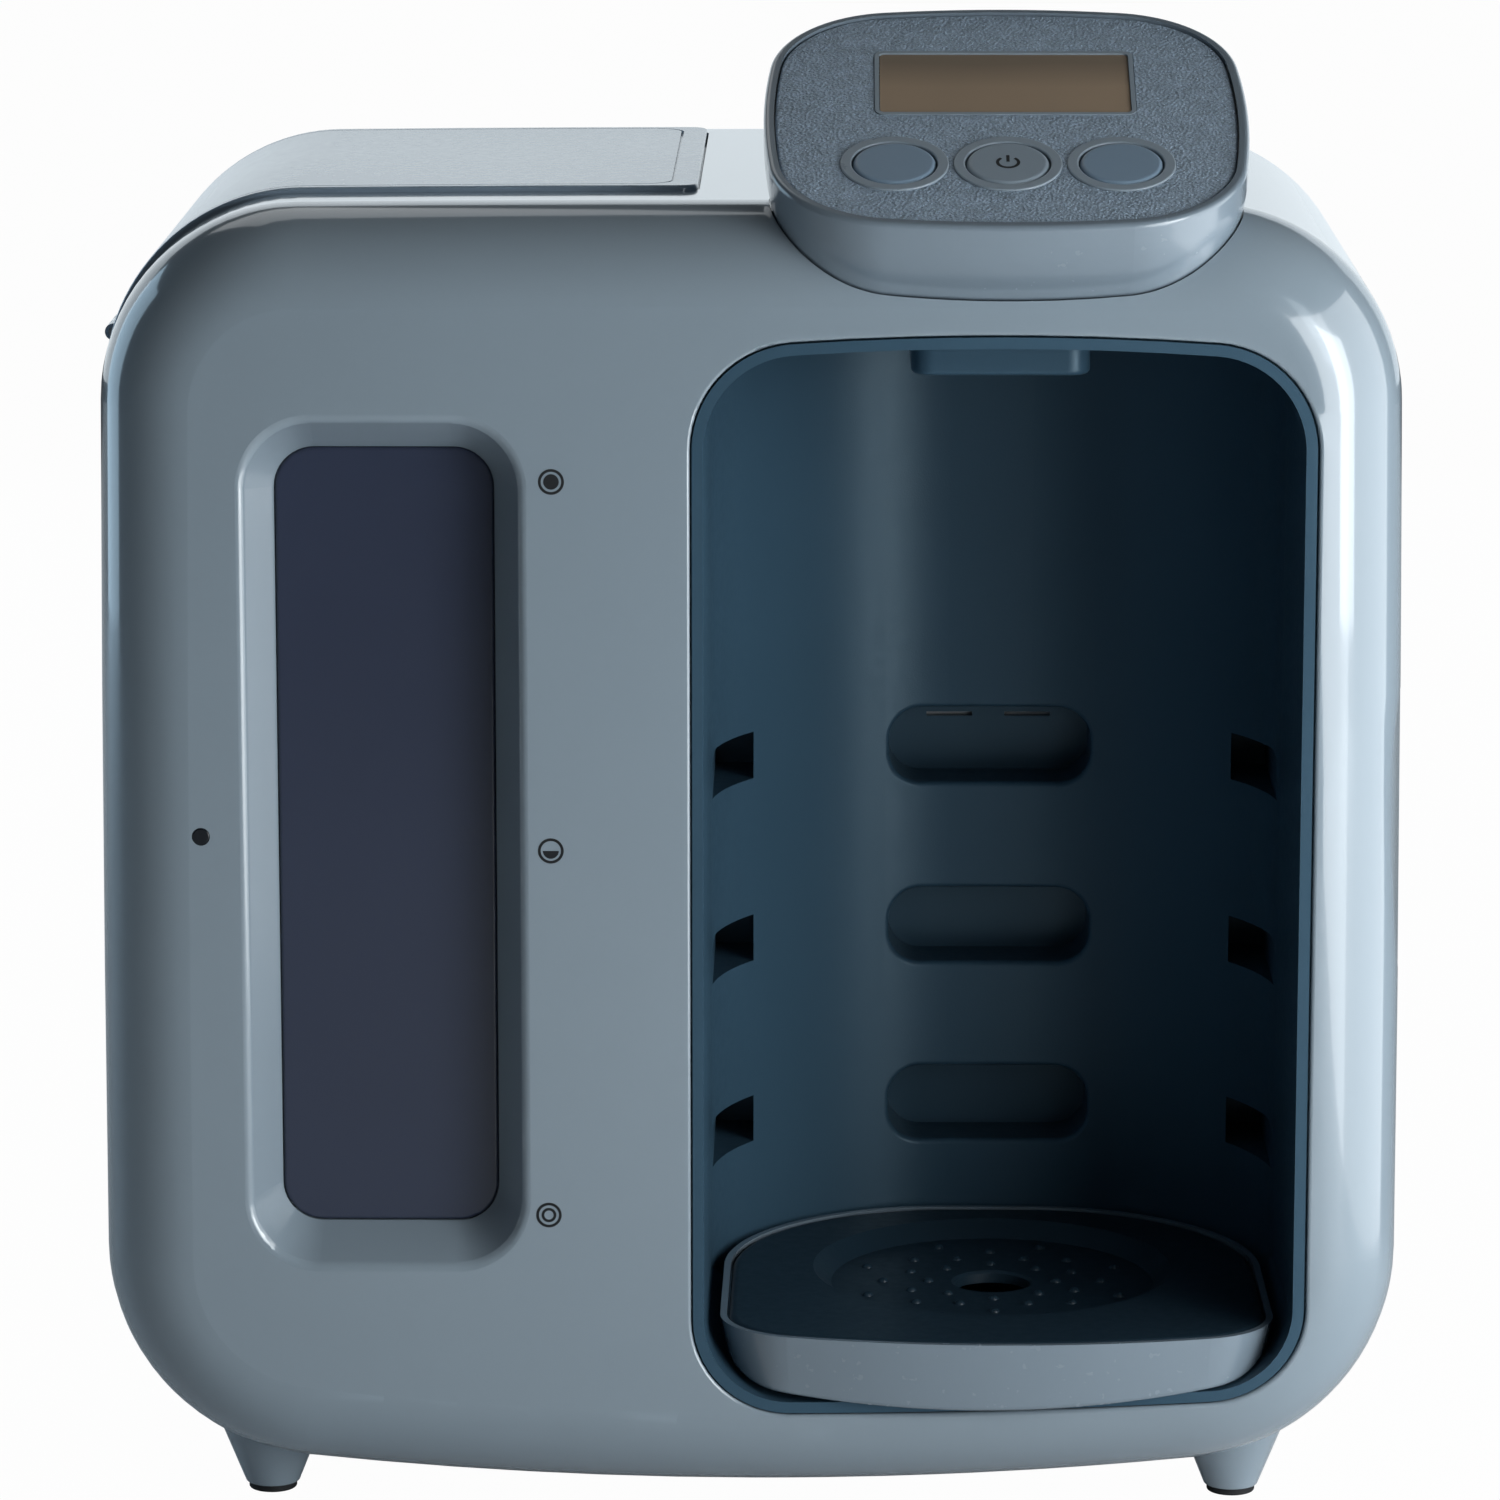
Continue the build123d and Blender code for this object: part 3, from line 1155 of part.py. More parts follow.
def apron_outline(inset=0.0):
    """Tray from the front: a shallow bowl that hangs over the edge of the opening."""
    half = BAY_W / 2 - LINER_INSET
    low = BAY_BOTTOM + APRON_RISE
    right_rise = APRON_SIDE + BAY_BOTTOM_RISE / 2
    with BuildSketch() as outline:
        with BuildLine():
            ThreePointArc((BAY_X - half, low + APRON_SIDE), (BAY_X, low), (BAY_X + half, low + right_rise))
            Polyline(
                (BAY_X + half, low + right_rise),
                (BAY_X + half, BODY_TOP),
                (BAY_X - half, BODY_TOP),
                (BAY_X - half, low + APRON_SIDE),
            )
        make_face()
        if inset:
            offset(amount=-inset, kind=Kind.INTERSECTION)
        fillet(outline.vertices().sort_by(Axis.Y)[:2], APRON_CORNER_R - inset)
    return outline.sketch


def tray_form(plan_inset, profile_inset, drop=0.0):
    """Tray as a solid: its plan, narrower below, cut by its outline from the front."""
    with BuildPart() as form:
        with BuildSketch(Plane.XY.offset(TRAY_TOP)):
            add(tray_plan(plan_inset))
        extrude(amount=FOOT_H - TRAY_TOP, taper=TRAY_TAPER)
        with BuildSketch(front_plane(FACE_Y - BAY_D)):
            add(apron_outline(profile_inset))
        extrude(amount=-2 * BAY_D, mode=Mode.INTERSECT)
    return form.part


tray_outer = tray_form(0, 0)
tray_bowl = tray_form(TRAY_RIM + TRAY_LEDGE, TRAY_WALL)
with BuildPart() as bay_floor:
    with BuildSketch(front_plane(FACE_Y - APRON_GAP)):
        add(bay_outline(-BAY_W / 4))
        add(bay_outline(LINER_INSET + FIT), mode=Mode.SUBTRACT)
    extrude(amount=-2 * BAY_D)
with BuildPart() as bowl_room:
    with BuildSketch(front_plane(FACE_Y - BAY_D)):
        add(bay_outline(LINER_INSET + FIT + TRAY_WALL))
    extrude(amount=-2 * BAY_D)

with BuildPart() as tray_base:
    add(tray_outer)
    apron_edges = tray_base.edges().filter_by(
        lambda edge: edge.center().Z < TRAY_TOP - TRAY_RIM and edge.center().Y < FACE_Y - APRON_GAP
    )
    fillet(apron_edges, APRON_EDGE_R)
    # behind the apron the tray stands on the floor of the bay
    add(bay_floor.part, mode=Mode.SUBTRACT)
    with BuildPart(mode=Mode.PRIVATE) as bowl:
        add(tray_bowl)
        add(bowl_room.part, mode=Mode.INTERSECT)
    add(bowl.part, mode=Mode.SUBTRACT)
    # ledge for the plate
    with BuildSketch(Plane.XY.offset(PLATE_Z)):
        add(tray_plan(TRAY_RIM))
    extrude(amount=PLATE_T + WALL, mode=Mode.SUBTRACT)
save(tray_base, "tray_base")

with BuildPart() as tray_plate:
    with BuildSketch(Plane.XY.offset(PLATE_Z)):
        add(tray_plan(TRAY_RIM + FIT))
    extrude(amount=PLATE_T)
    fillet(tray_plate.faces().sort_by(Axis.Z)[-1].edges(), PLATE_EDGE_R)
    # underside of the dish
    with BuildSketch(Plane.XY.offset(PLATE_Z)):
        with Locations(DISH_PLACE):
            Circle(DISH_R)
    extrude(amount=-DISH_D, taper=DISH_TAPER)
    # dish
    with BuildSketch(Plane.XY.offset(PLATE_Z + PLATE_T)):
        with Locations(DISH_PLACE):
            Circle(DISH_R)
    extrude(amount=-DISH_D, taper=DISH_TAPER, mode=Mode.SUBTRACT)
    # drain, with a bevelled edge
    with Locations((*DISH_PLACE, PLATE_Z)):
        Cylinder(DRAIN_R, 4 * DISH_D, mode=Mode.SUBTRACT)
    with Locations((*DISH_PLACE, PLATE_Z + PLATE_T - DISH_D)):
        Cone(DRAIN_R, DRAIN_R + 2 * DRAIN_EDGE, 2 * DRAIN_EDGE, mode=Mode.SUBTRACT)
    # low pips that keep a bottle off the wet floor
    for ring_index, pip_ring in enumerate(PIP_RINGS):
        with Locations((*DISH_PLACE, PLATE_Z + PLATE_T - DISH_D + PIP_H - PIP_R)):
            with PolarLocations(pip_ring, PIPS_PER_RING, start_angle=ring_index % 2 * 180 / PIPS_PER_RING):
                Sphere(PIP_R)
save(tray_plate, "tray_plate")

# ------------------------------------------------------------------ works behind the bay
FRAME_Y = BAY_BACK_Y + SLOT_D + LINER_WALL
FRAME_T = 2.5
FRAME_REACH_LEFT = 64.0     # from the middle of the bay
FRAME_REACH_RIGHT = 72.0
FRAME_DROP = 31.5
FRAME_LEFT = BAY_X - FRAME_REACH_LEFT
FRAME_RIGHT = BAY_X + FRAME_REACH_RIGHT
FRAME_TOP = BODY_TOP - FRAME_DROP
MOUNT_Y = FRAME_Y + FRAME_T
HOLE_W = 60.0
HOLE_H = 50.0
HOLE_R = 6.0
HOLE_Z = 84.0
HOSE_GAP_W = 16.0
PUMP_SHIFT = 41.8           # pump to the left of the middle of the bay
PUMP_R = 17.0
PUMP_GAP = 3.0
PUMP_BOTTOM = 44.0
PUMP_H = 52.0
PUMP_X = BAY_X - PUMP_SHIFT
PUMP_Y = MOUNT_Y + PUMP_GAP + PUMP_R
WORKS_SHIFT = 18.2          # heater and boards to the right of the middle of the bay
HEATER_Z = 134.0
HEATER_R = 15.0
HEATER_L = 74.0
HEATER_FOOT_W = 10.0
HEATER_X = BAY_X + WORKS_SHIFT
WORKS_EDGE_R = 2.0
MAIN_BOARD_W = 92.0
MAIN_BOARD_H = 72.0
MAIN_BOARD_DROP = 77.5
MAIN_BOARD_Z = BODY_TOP - MAIN_BOARD_DROP
STANDOFF_INSET = 4.0        # from the edges of the board
STANDOFF_H = 4.0
RELAY_W = 26.0
RELAY_H = 18.0
RELAY_T = 12.0
SUPPLY_W = 62.0
SUPPLY_H = 30.0
SUPPLY_T = 28.0
SUPPLY_Z = 46.0
SUPPLY_SHIFT = 7.0
NIPPLE_END_L = 7.0

with BuildPart() as works_frame:
    with BuildSketch(front_plane(MOUNT_Y)):
        add(body_outline(WALL + FIT))
        with Locations(((FRAME_LEFT + FRAME_RIGHT) / 2, FRAME_TOP / 2)):
            Rectangle(FRAME_RIGHT - FRAME_LEFT, FRAME_TOP, mode=Mode.INTERSECT)
        with Locations((PUMP_X, 0)):
            Rectangle(HOSE_GAP_W, 2 * (NIPPLE_Z + 2 * HOSE_R), mode=Mode.SUBTRACT)
    extrude(amount=FRAME_T)
    # lightening holes between the stations of the works
    with BuildSketch(front_plane(MOUNT_Y)):
        with Locations((HEATER_X, HOLE_Z)):
            RectangleRounded(HOLE_W, HOLE_H, HOLE_R)
    extrude(amount=FRAME_T, mode=Mode.SUBTRACT)
    # standoffs of the main board
    with BuildSketch(front_plane(MOUNT_Y)):
        with Locations((HEATER_X, MAIN_BOARD_Z)):
            with GridLocations(MAIN_BOARD_W - 2 * STANDOFF_INSET, MAIN_BOARD_H - 2 * STANDOFF_INSET, 2, 2):
                Circle(POST_R)
    extrude(amount=-STANDOFF_H)
save(works_frame, "works_frame")

with BuildPart() as pump:
    with BuildSketch(Plane.XY.offset(PUMP_BOTTOM)):
        with Locations((PUMP_X, PUMP_Y)):
            Circle(PUMP_R)
    extrude(amount=PUMP_H)
    fillet(pump.edges(), WORKS_EDGE_R)
    with BuildSketch(Plane.XY.offset(PUMP_BOTTOM - NIPPLE_END_L)):
        with Locations((PUMP_X, PUMP_Y)):
            Circle(HOSE_R)
    extrude(amount=PUMP_H + 2 * NIPPLE_END_L)
    # foot on the frame
    with BuildSketch(front_plane(PUMP_Y)):
        with Locations((PUMP_X, PUMP_BOTTOM + PUMP_H / 2)):
            Rectangle(1.4 * PUMP_R, PUMP_H / 2)
    extrude(amount=PUMP_Y - MOUNT_Y)
save(pump, "pump")

with BuildPart() as heater:
    with BuildSketch(Plane.YZ.offset(HEATER_X - HEATER_L / 2)):
        with Locations((PUMP_Y, HEATER_Z)):
            Circle(HEATER_R)
    extrude(amount=HEATER_L)
    fillet(heater.edges(), WORKS_EDGE_R)
    with BuildSketch(Plane.YZ.offset(HEATER_X - HEATER_L / 2 - NIPPLE_END_L)):
        with Locations((PUMP_Y, HEATER_Z)):
            Circle(HOSE_R)
    extrude(amount=HEATER_L + 2 * NIPPLE_END_L)
    with BuildSketch(front_plane(PUMP_Y)):
        with Locations((HEATER_X, HEATER_Z)):
            with GridLocations(HEATER_L * 0.6, 1, 2, 1):
                Rectangle(HEATER_FOOT_W, HEATER_R)
    extrude(amount=PUMP_Y - MOUNT_Y)
save(heater, "heater")

with BuildPart() as main_board:
    with BuildSketch(front_plane(MOUNT_Y + STANDOFF_H)):
        with Locations((HEATER_X, MAIN_BOARD_Z)):
            Rectangle(MAIN_BOARD_W, MAIN_BOARD_H)
    extrude(amount=-BOARD_T)
    with BuildSketch(front_plane(MOUNT_Y + STANDOFF_H + BOARD_T)):
        with Locations((HEATER_X - RELAY_W, MAIN_BOARD_Z), (HEATER_X + RELAY_H, MAIN_BOARD_Z + RELAY_H)):
            Rectangle(RELAY_W, RELAY_H)
    extrude(amount=-RELAY_T)
save(main_board, "main_board")

with BuildPart() as power_supply:
    with BuildSketch(front_plane(MOUNT_Y)):
        with Locations((HEATER_X - SUPPLY_SHIFT, SUPPLY_Z)):
            RectangleRounded(SUPPLY_W, SUPPLY_H, WORKS_EDGE_R)
    extrude(amount=-SUPPLY_T)
save(power_supply, "power_supply")

# ------------------------------------------------------------------ hoses
BEND = 14.0                 # hose bends: at a port, and in the open
TIGHT_BEND = 10.0
WIDE_BEND = 30.0
RISER_GAP = 4.0
port_top = PUMP_BOTTOM + PUMP_H + NIPPLE_END_L
heater_left = HEATER_X - HEATER_L / 2 - NIPPLE_END_L
heater_right = HEATER_X + HEATER_L / 2 + NIPPLE_END_L
dock_port_x = OUTLET_X + WELL_SOCKET_R + WELL_WALL + NIPPLE_L
riser_x = FRAME_RIGHT + RISER_GAP

feed_hose = hose(
    [
        (dock_port_x, OUTLET_Y, NIPPLE_Z),
        (PUMP_X, OUTLET_Y, NIPPLE_Z),
        (PUMP_X, PUMP_Y, NIPPLE_Z),
        (PUMP_X, PUMP_Y, PUMP_BOTTOM - NIPPLE_END_L),
    ],
    HOSE_R, HOSE_BORE_R, [WIDE_BEND, BEND],
)
heater_hose = hose(
    [
        (PUMP_X, PUMP_Y, port_top),
        (PUMP_X, PUMP_Y, HEATER_Z),
        (heater_left, PUMP_Y, HEATER_Z),
    ],
    HOSE_R, HOSE_BORE_R, [BEND],
)
outlet_hose = hose(
    [
        (heater_right, PUMP_Y, HEATER_Z),
        (riser_x, PUMP_Y, HEATER_Z),
        (riser_x, PUMP_Y, PORT_Z),
        (BAY_X, PUMP_Y, PORT_Z),
        (BAY_X, port_y, PORT_Z),
    ],
    HOSE_R, HOSE_BORE_R, [TIGHT_BEND, WIDE_BEND, WIDE_BEND],
)
for name, tube in (("feed_hose", feed_hose), ("heater_hose", heater_hose), ("outlet_hose", outlet_hose)):
    with BuildPart() as piece:
        add(tube)
    save(piece, name)

# ------------------------------------------------------------------ cord gland
with BuildPart() as cord_gland:
    with BuildSketch(front_plane(BACK_Y)):
        with Locations((GLAND_X, GLAND_Z)):
            Circle(GLAND_R)
    extrude(amount=2 * WALL)
    with BuildSketch(front_plane(BACK_Y)):
        with Locations((GLAND_X, GLAND_Z)):
            Circle(GLAND_R + GLAND_LIP_W)
    extrude(amount=-GLAND_LIP_T)
    fillet(cord_gland.faces().sort_by(Axis.Y)[-1].edges(), 1.0)
    with BuildSketch(front_plane(BACK_Y + WALL)):
        with Locations((GLAND_X, GLAND_Z)):
            SlotOverall(CORD_W, CORD_T)
    extrude(amount=4 * WALL, mode=Mode.SUBTRACT)
save(cord_gland, "cord_gland")

# ------------------------------------------------------------------ feet
FOOT_X = BODY_W / 2 - FOOT_SIDE
foot_places = {
    "front_left": (-FOOT_X, SEAM_Y + FOOT_FRONT_Y),
    "front_right": (FOOT_X, SEAM_Y + FOOT_FRONT_Y),
    "back_left": (-FOOT_X, BACK_Y - FOOT_BACK_Y),
    "back_right": (FOOT_X, BACK_Y - FOOT_BACK_Y),
}
housing_solid = body_block(0, SEAM_Y - SHELL_D / 2, BACK_Y)
for corner, place in foot_places.items():
    with BuildPart() as foot:
        with BuildSketch(Plane.XY.offset(PAD_H)):
            with Locations(place):
                Circle(FOOT_TIP_R)
        with BuildSketch(Plane.XY.offset(FOOT_REACH)):
            with Locations(place):
                Circle(FOOT_TOP_R)
        loft()
        fillet(foot.faces().sort_by(Axis.Z)[0].edges(), 0.6)
        add(housing_solid, mode=Mode.SUBTRACT)
        with BuildSketch(Plane.XY.offset(PAD_H)):
            with Locations(place):
                Circle(PLUG_R + FIT / 3)
        extrude(amount=PLUG_H + FIT, mode=Mode.SUBTRACT)
    save(foot, f"foot_{corner}")
    with BuildPart() as pad:
        with BuildSketch(Plane.XY):
            with Locations(place):
                Circle(PAD_R)
        extrude(amount=PAD_H)
        fillet(pad.faces().sort_by(Axis.Z)[0].edges(), 0.5)
        with BuildSketch(Plane.XY.offset(PAD_H)):
            with Locations(place):
                Circle(PLUG_R)
        extrude(amount=PLUG_H)
    save(pad, f"foot_pad_{corner}")
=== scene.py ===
from math import cos, pi, radians, sin

import bmesh
import bpy
from mathutils import Matrix, Vector


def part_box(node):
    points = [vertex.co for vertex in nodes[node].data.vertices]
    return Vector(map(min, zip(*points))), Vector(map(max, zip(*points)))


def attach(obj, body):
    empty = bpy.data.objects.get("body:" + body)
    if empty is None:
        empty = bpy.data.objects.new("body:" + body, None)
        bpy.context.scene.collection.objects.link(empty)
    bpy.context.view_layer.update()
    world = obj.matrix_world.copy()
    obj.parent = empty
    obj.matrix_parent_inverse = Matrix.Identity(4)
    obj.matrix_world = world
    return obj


# Looks of the baby formula maker. Metres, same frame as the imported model.

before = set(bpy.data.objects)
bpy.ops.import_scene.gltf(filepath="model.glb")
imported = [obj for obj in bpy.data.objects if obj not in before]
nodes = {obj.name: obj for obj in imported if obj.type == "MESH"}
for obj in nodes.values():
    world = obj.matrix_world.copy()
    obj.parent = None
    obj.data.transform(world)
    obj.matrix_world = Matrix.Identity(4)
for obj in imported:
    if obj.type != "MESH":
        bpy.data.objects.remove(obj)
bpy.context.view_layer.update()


# ------------------------------------------------------------------ colours
def tone(red, green, blue):
    """An sRGB colour, 0 to 255, as linear RGBA."""

    def linear(value):
        value /= 255.0
        return value / 12.92 if value <= 0.04045 else ((value + 0.055) / 1.055) ** 2.4

    return (linear(red), linear(green), linear(blue), 1.0)


def shaded(colour, factor):
    """The same colour, darker or lighter."""
    return tuple(channel * factor for channel in colour[:3]) + (1.0,)


SHELL = tone(136, 150, 160)
# the shell's own plastic, darker: painted shade for the pod and the tray base
SHELL_SHADE = tone(122, 136, 147)
# the shell's plastic, lighter and bluer: painted top light on the lid
LID_LIT = tone(154, 175, 194)
BACK = tone(112, 126, 137)
BAY = tone(54, 79, 96)
PLATE = tone(30, 48, 60)
PANEL = tone(160, 179, 197)
RING = tone(150, 164, 175)
KEY_DARK = tone(136, 160, 181)
KEY_LIGHT = tone(148, 163, 175)
SMOKE = tone(50, 57, 76)
LENS = tone(13, 19, 26)
SCREEN = tone(185, 161, 135)
SCREEN_TOP_SHADE = tone(147, 131, 112)
PRINT = tone(9, 14, 19)
INNER = tone(196, 200, 202)
TANK = tone(214, 226, 234)
HOSE = tone(214, 214, 208)
RUBBER = tone(22, 24, 26)
VALVE = tone(70, 76, 82)
STEEL_DARK = tone(150, 152, 154)
STEEL_LIGHT = tone(196, 198, 200)
BOARD = tone(22, 92, 58)
BOARD_DARK = tone(18, 80, 50)
BOARD_TRACK = tone(60, 138, 92)
FELT_DARK = tone(206, 208, 204)
FELT_LIGHT = tone(232, 233, 229)
FLOOR_DARK = tone(206, 208, 210)
FLOOR_LIGHT = tone(213, 215, 217)
COOL = (0.94, 0.975, 1.0)
COOL_BACK = (0.85, 0.94, 1.0)
COOL_FILL = (0.82, 0.93, 1.0)
BLUE = (0.56, 0.80, 1.0)
BAY_SHEEN = (0.66, 0.87, 1.0, 1.0)

# ------------------------------------------------------------------ materials
# sockets of a colour Mix node
MIX_A = 6
MIX_B = 7
MIX_RESULT = 2
# bump heights are in metres, so the bump node's own distance is one
BUMP_DISTANCE = 1.0
# where noise is read from: most of it lies between these two values
NOISE_LOW = 0.3
NOISE_HIGH = 0.7


class Look:
    """A new Principled material, and short ways to add nodes to it."""

    def __init__(self, name):
        self.material = bpy.data.materials.new(name)
        self.material.use_nodes = True
        self.tree = self.material.node_tree
        self.shader = self.tree.nodes["Principled BSDF"]
        self.place = self.tree.nodes.new("ShaderNodeTexCoord").outputs["Object"]

    def add(self, kind, **values):
        node = self.tree.nodes.new(kind)
        for key, value in values.items():
            if key in node.inputs:
                node.inputs[key].default_value = value
            else:
                setattr(node, key, value)
        return node

    def link(self, source, target):
        self.tree.links.new(source, target)

    def feed(self, node, values):
        """Sets or links the node's sockets, given as socket and value."""
        for socket, value in values.items():
            if isinstance(value, bpy.types.NodeSocket):
                self.link(value, node.inputs[socket])
            else:
                node.inputs[socket].default_value = value

    def noise(self, scale, detail=3.0, roughness=0.55, place=None):
        node = self.add("ShaderNodeTexNoise", Scale=scale, Detail=detail, Roughness=roughness)
        self.link(place or self.place, node.inputs["Vector"])
        return node.outputs["Fac"]

    def spread(self, value, low, high, from_low=NOISE_LOW, from_high=NOISE_HIGH):
        """Stretches a value from one range to another."""
        node = self.add("ShaderNodeMapRange")
        node.inputs["From Min"].default_value = from_low
        node.inputs["From Max"].default_value = from_high
        node.inputs["To Min"].default_value = low
        node.inputs["To Max"].default_value = high
        self.link(value, node.inputs["Value"])
        return node.outputs["Result"]

    def mix(self, factor, first, second):
        node = self.add("ShaderNodeMix", data_type="RGBA")
        self.feed(node, {MIX_A: first, MIX_B: second, 0: factor})
        return node.outputs[MIX_RESULT]

    def math(self, operation, first, second):
        node = self.add("ShaderNodeMath", operation=operation)
        self.feed(node, {0: first, 1: second})
        return node.outputs[0]

    def plus(self, first, second):
        return self.math("ADD", first, second)

    def times(self, first, second):
        return self.math("MULTIPLY", first, second)

    def colour(self, value):
        self.link(value, self.shader.inputs["Base Color"])

    def rough(self, value):
        self.link(value, self.shader.inputs["Roughness"])

    def bump(self, height):
        node = self.add("ShaderNodeBump", Strength=1.0, Distance=BUMP_DISTANCE)
        self.link(height, node.inputs["Height"])
        self.link(node.outputs["Normal"], self.shader.inputs["Normal"])

    def set(self, **values):
        for key, value in values.items():
            self.shader.inputs[key.replace("_", " ")].default_value = value


def moulded(
    name, colour, roughness, peel=0.00002, grain=0.0, grain_scale=2600.0, coat=0.0, spread=0.06,
    coat_roughness=0.05,
):
    """Moulded plastic: faint flow mottling, orange peel, and grain where it has any."""
    look = Look(name)
    flow = look.noise(9.0, 4.0)
    fine = look.noise(420.0, 2.0)
    mottle = look.spread(flow, 0.0, 1.0)
    look.colour(look.mix(mottle, shaded(colour, 1 - spread), shaded(colour, 1 + spread)))
    wear = look.times(look.plus(flow, fine), 0.5)
    look.rough(look.spread(wear, roughness * 0.85, roughness * 1.2))
    height = look.times(look.noise(70.0, 1.0), peel)
    if grain:
        height = look.plus(height, look.times(look.noise(grain_scale, 2.0, 0.6), grain))
    look.bump(height)
    look.set(Coat_Weight=coat, Coat_Roughness=coat_roughness)
    return look.material


def panel_grain(name):
    """Dark moulded grain with fine bright flakes: painted glints in the colour, a little smoother as well.
    """
    look = Look(name)
    cells = look.add("ShaderNodeTexVoronoi", Scale=1300.0)
    look.link(look.place, cells.inputs["Vector"])
    glint_flakes = look.spread(look.noise(3200.0, 2.0, 0.7), 0.0, 1.0, 0.56, 0.70)
    broad = look.spread(look.noise(300.0, 3.0), 0.0, 1.0)
    base = look.mix(broad, shaded(PANEL, 0.8), shaded(PANEL, 1.15))
    # the flakes lighten the colour: painted glints on the grain
    look.colour(look.mix(glint_flakes, base, shaded(PANEL, 2.2)))
    look.rough(look.spread(glint_flakes, 0.46, 0.30, 0.0, 1.0))
    pebbles = look.times(cells.outputs["Distance"], 0.0005)
    look.bump(look.plus(pebbles, look.times(look.noise(2400.0), 0.0003)))
    look.set(Metallic=0.15)
    return look.material


def smoked(name):
    """Smoked pane over the dark tank space."""
    look = Look(name)
    cloud = look.spread(look.noise(6.0, 3.0), 0.0, 1.0)
    look.colour(look.mix(cloud, shaded(SMOKE, 0.92), shaded(SMOKE, 1.08)))
    look.rough(look.spread(look.noise(160.0), 0.16, 0.24))
    look.bump(look.times(look.noise(40.0, 1.0), 0.00002))
    look.set(Coat_Weight=0.3, Coat_Roughness=0.08)
    return look.material


def screen(name):
    """Unlit display, with painted shade that darkens it towards the top."""
    look = Look(name)
    split = look.add("ShaderNodeSeparateXYZ")
    look.link(look.place, split.inputs["Vector"])
    low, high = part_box("display_window")
    up = look.spread(split.outputs["Y"], 0.0, 1.0, low.y + 0.011, high.y - 0.004)
    cloud = look.spread(look.noise(30.0, 2.0), -0.08, 0.08)
    # painted shade: the display's colour darkens towards its top
    look.colour(look.mix(look.plus(up, cloud), SCREEN, SCREEN_TOP_SHADE))
    look.rough(look.spread(look.noise(250.0), 0.10, 0.16))
    look.bump(look.times(look.noise(90.0, 1.0), 0.00001))
    look.set(Coat_Weight=0.6, Coat_Roughness=0.04)
    return look.material


def clear(name, colour, roughness=0.04):
    """Clear moulded plastic with its true wall thickness."""
    look = Look(name)
    look.colour(look.mix(look.spread(look.noise(12.0), 0.0, 1.0), shaded(colour, 0.97), colour))
    look.rough(look.spread(look.noise(140.0), roughness * 0.7, roughness * 1.6))
    look.bump(look.times(look.noise(60.0, 1.0), 0.00002))
    look.set(Transmission_Weight=0.92, IOR=1.49)
    return look.material


def brushed_steel(name):
    """Steel brushed along X."""
    look = Look(name)
    stretch = look.add("ShaderNodeMapping", vector_type="POINT")
    stretch.inputs["Scale"].default_value = (40.0, 1400.0, 1400.0)
    look.link(look.place, stretch.inputs["Vector"])
    lines = look.noise(1.0, 3.0, 0.7, stretch.outputs["Vector"])
    look.colour(look.mix(look.spread(lines, 0.0, 1.0), STEEL_DARK, STEEL_LIGHT))
    look.rough(look.spread(lines, 0.24, 0.42))
    look.bump(look.times(lines, 0.00003))
    look.set(Metallic=1.0)
    return look.material


def board(name):
    """Lacquered circuit board with tracks."""
    look = Look(name)
    tracks = look.add("ShaderNodeTexBrick", Scale=260.0)
    look.feed(tracks, {"Color1": BOARD, "Color2": BOARD_DARK, "Mortar": BOARD_TRACK, "Vector": look.place})
    look.colour(tracks.outputs["Color"])
    look.rough(look.spread(look.noise(500.0), 0.25, 0.4))
    look.bump(look.times(tracks.outputs["Fac"], 0.00003))
    return look.material


def filter_felt(name):
    """Pleated white filter media."""
    look = Look(name)
    pleats = look.add("ShaderNodeTexWave", Scale=90.0, Distortion=1.5)
    look.link(look.place, pleats.inputs["Vector"])
    fibres = look.noise(1500.0, 5.0, 0.7)
    look.colour(look.mix(look.spread(fibres, 0.0, 1.0), FELT_DARK, FELT_LIGHT))
    look.rough(look.spread(fibres, 0.8, 0.95))
    look.bump(look.plus(look.times(pleats.outputs["Fac"], 0.0003), look.times(fibres, 0.0001)))
    return look.material


# a lighter, bluer copy of the shell plastic: painted top light on the lid
lit_lid_material = moulded("lid_gloss", LID_LIT, 0.24, peel=0.000006, coat=0.5, spread=0.02)
# a darker copy of the shell plastic: painted shade on the pod and the tray base
shell_shade_material = moulded(
    "shell_painted_shade", SHELL_SHADE, 0.24, peel=0.000006, coat=0.8, spread=0.02, coat_roughness=0.12
)
shell_material = moulded("shell_gloss", SHELL, 0.16, peel=0.000006, coat=1.0, spread=0.02)
back_material = moulded("back_grain", BACK, 0.5, grain=0.00008, grain_scale=1800.0)
bay_material = moulded("bay_satin", BAY, 0.34, grain=0.000025, spread=0.05)
bay_shader = bay_material.node_tree.nodes["Principled BSDF"]
bay_shader.inputs["Specular IOR Level"].default_value = 0.4
bay_shader.inputs["Specular Tint"].default_value = BAY_SHEEN
ring_material = moulded("ring_satin", RING, 0.3, grain=0.00001)
dark_key_material = moulded("dark_key", KEY_DARK, 0.34, grain=0.000015)
print_material = moulded("printed_sign", PRINT, 0.5, peel=0.000005, grain=0.000008)
inner_material = moulded("inner_plastic", INNER, 0.45, grain=0.00003)
hose_material = moulded("silicone", HOSE, 0.4, grain=0.00001)
rubber_material = moulded("soft_rubber", RUBBER, 0.75, grain=0.00005)
screen_material = screen("display_screen")
steel_material = brushed_steel("turned_steel")
board_material = board("circuit_board")

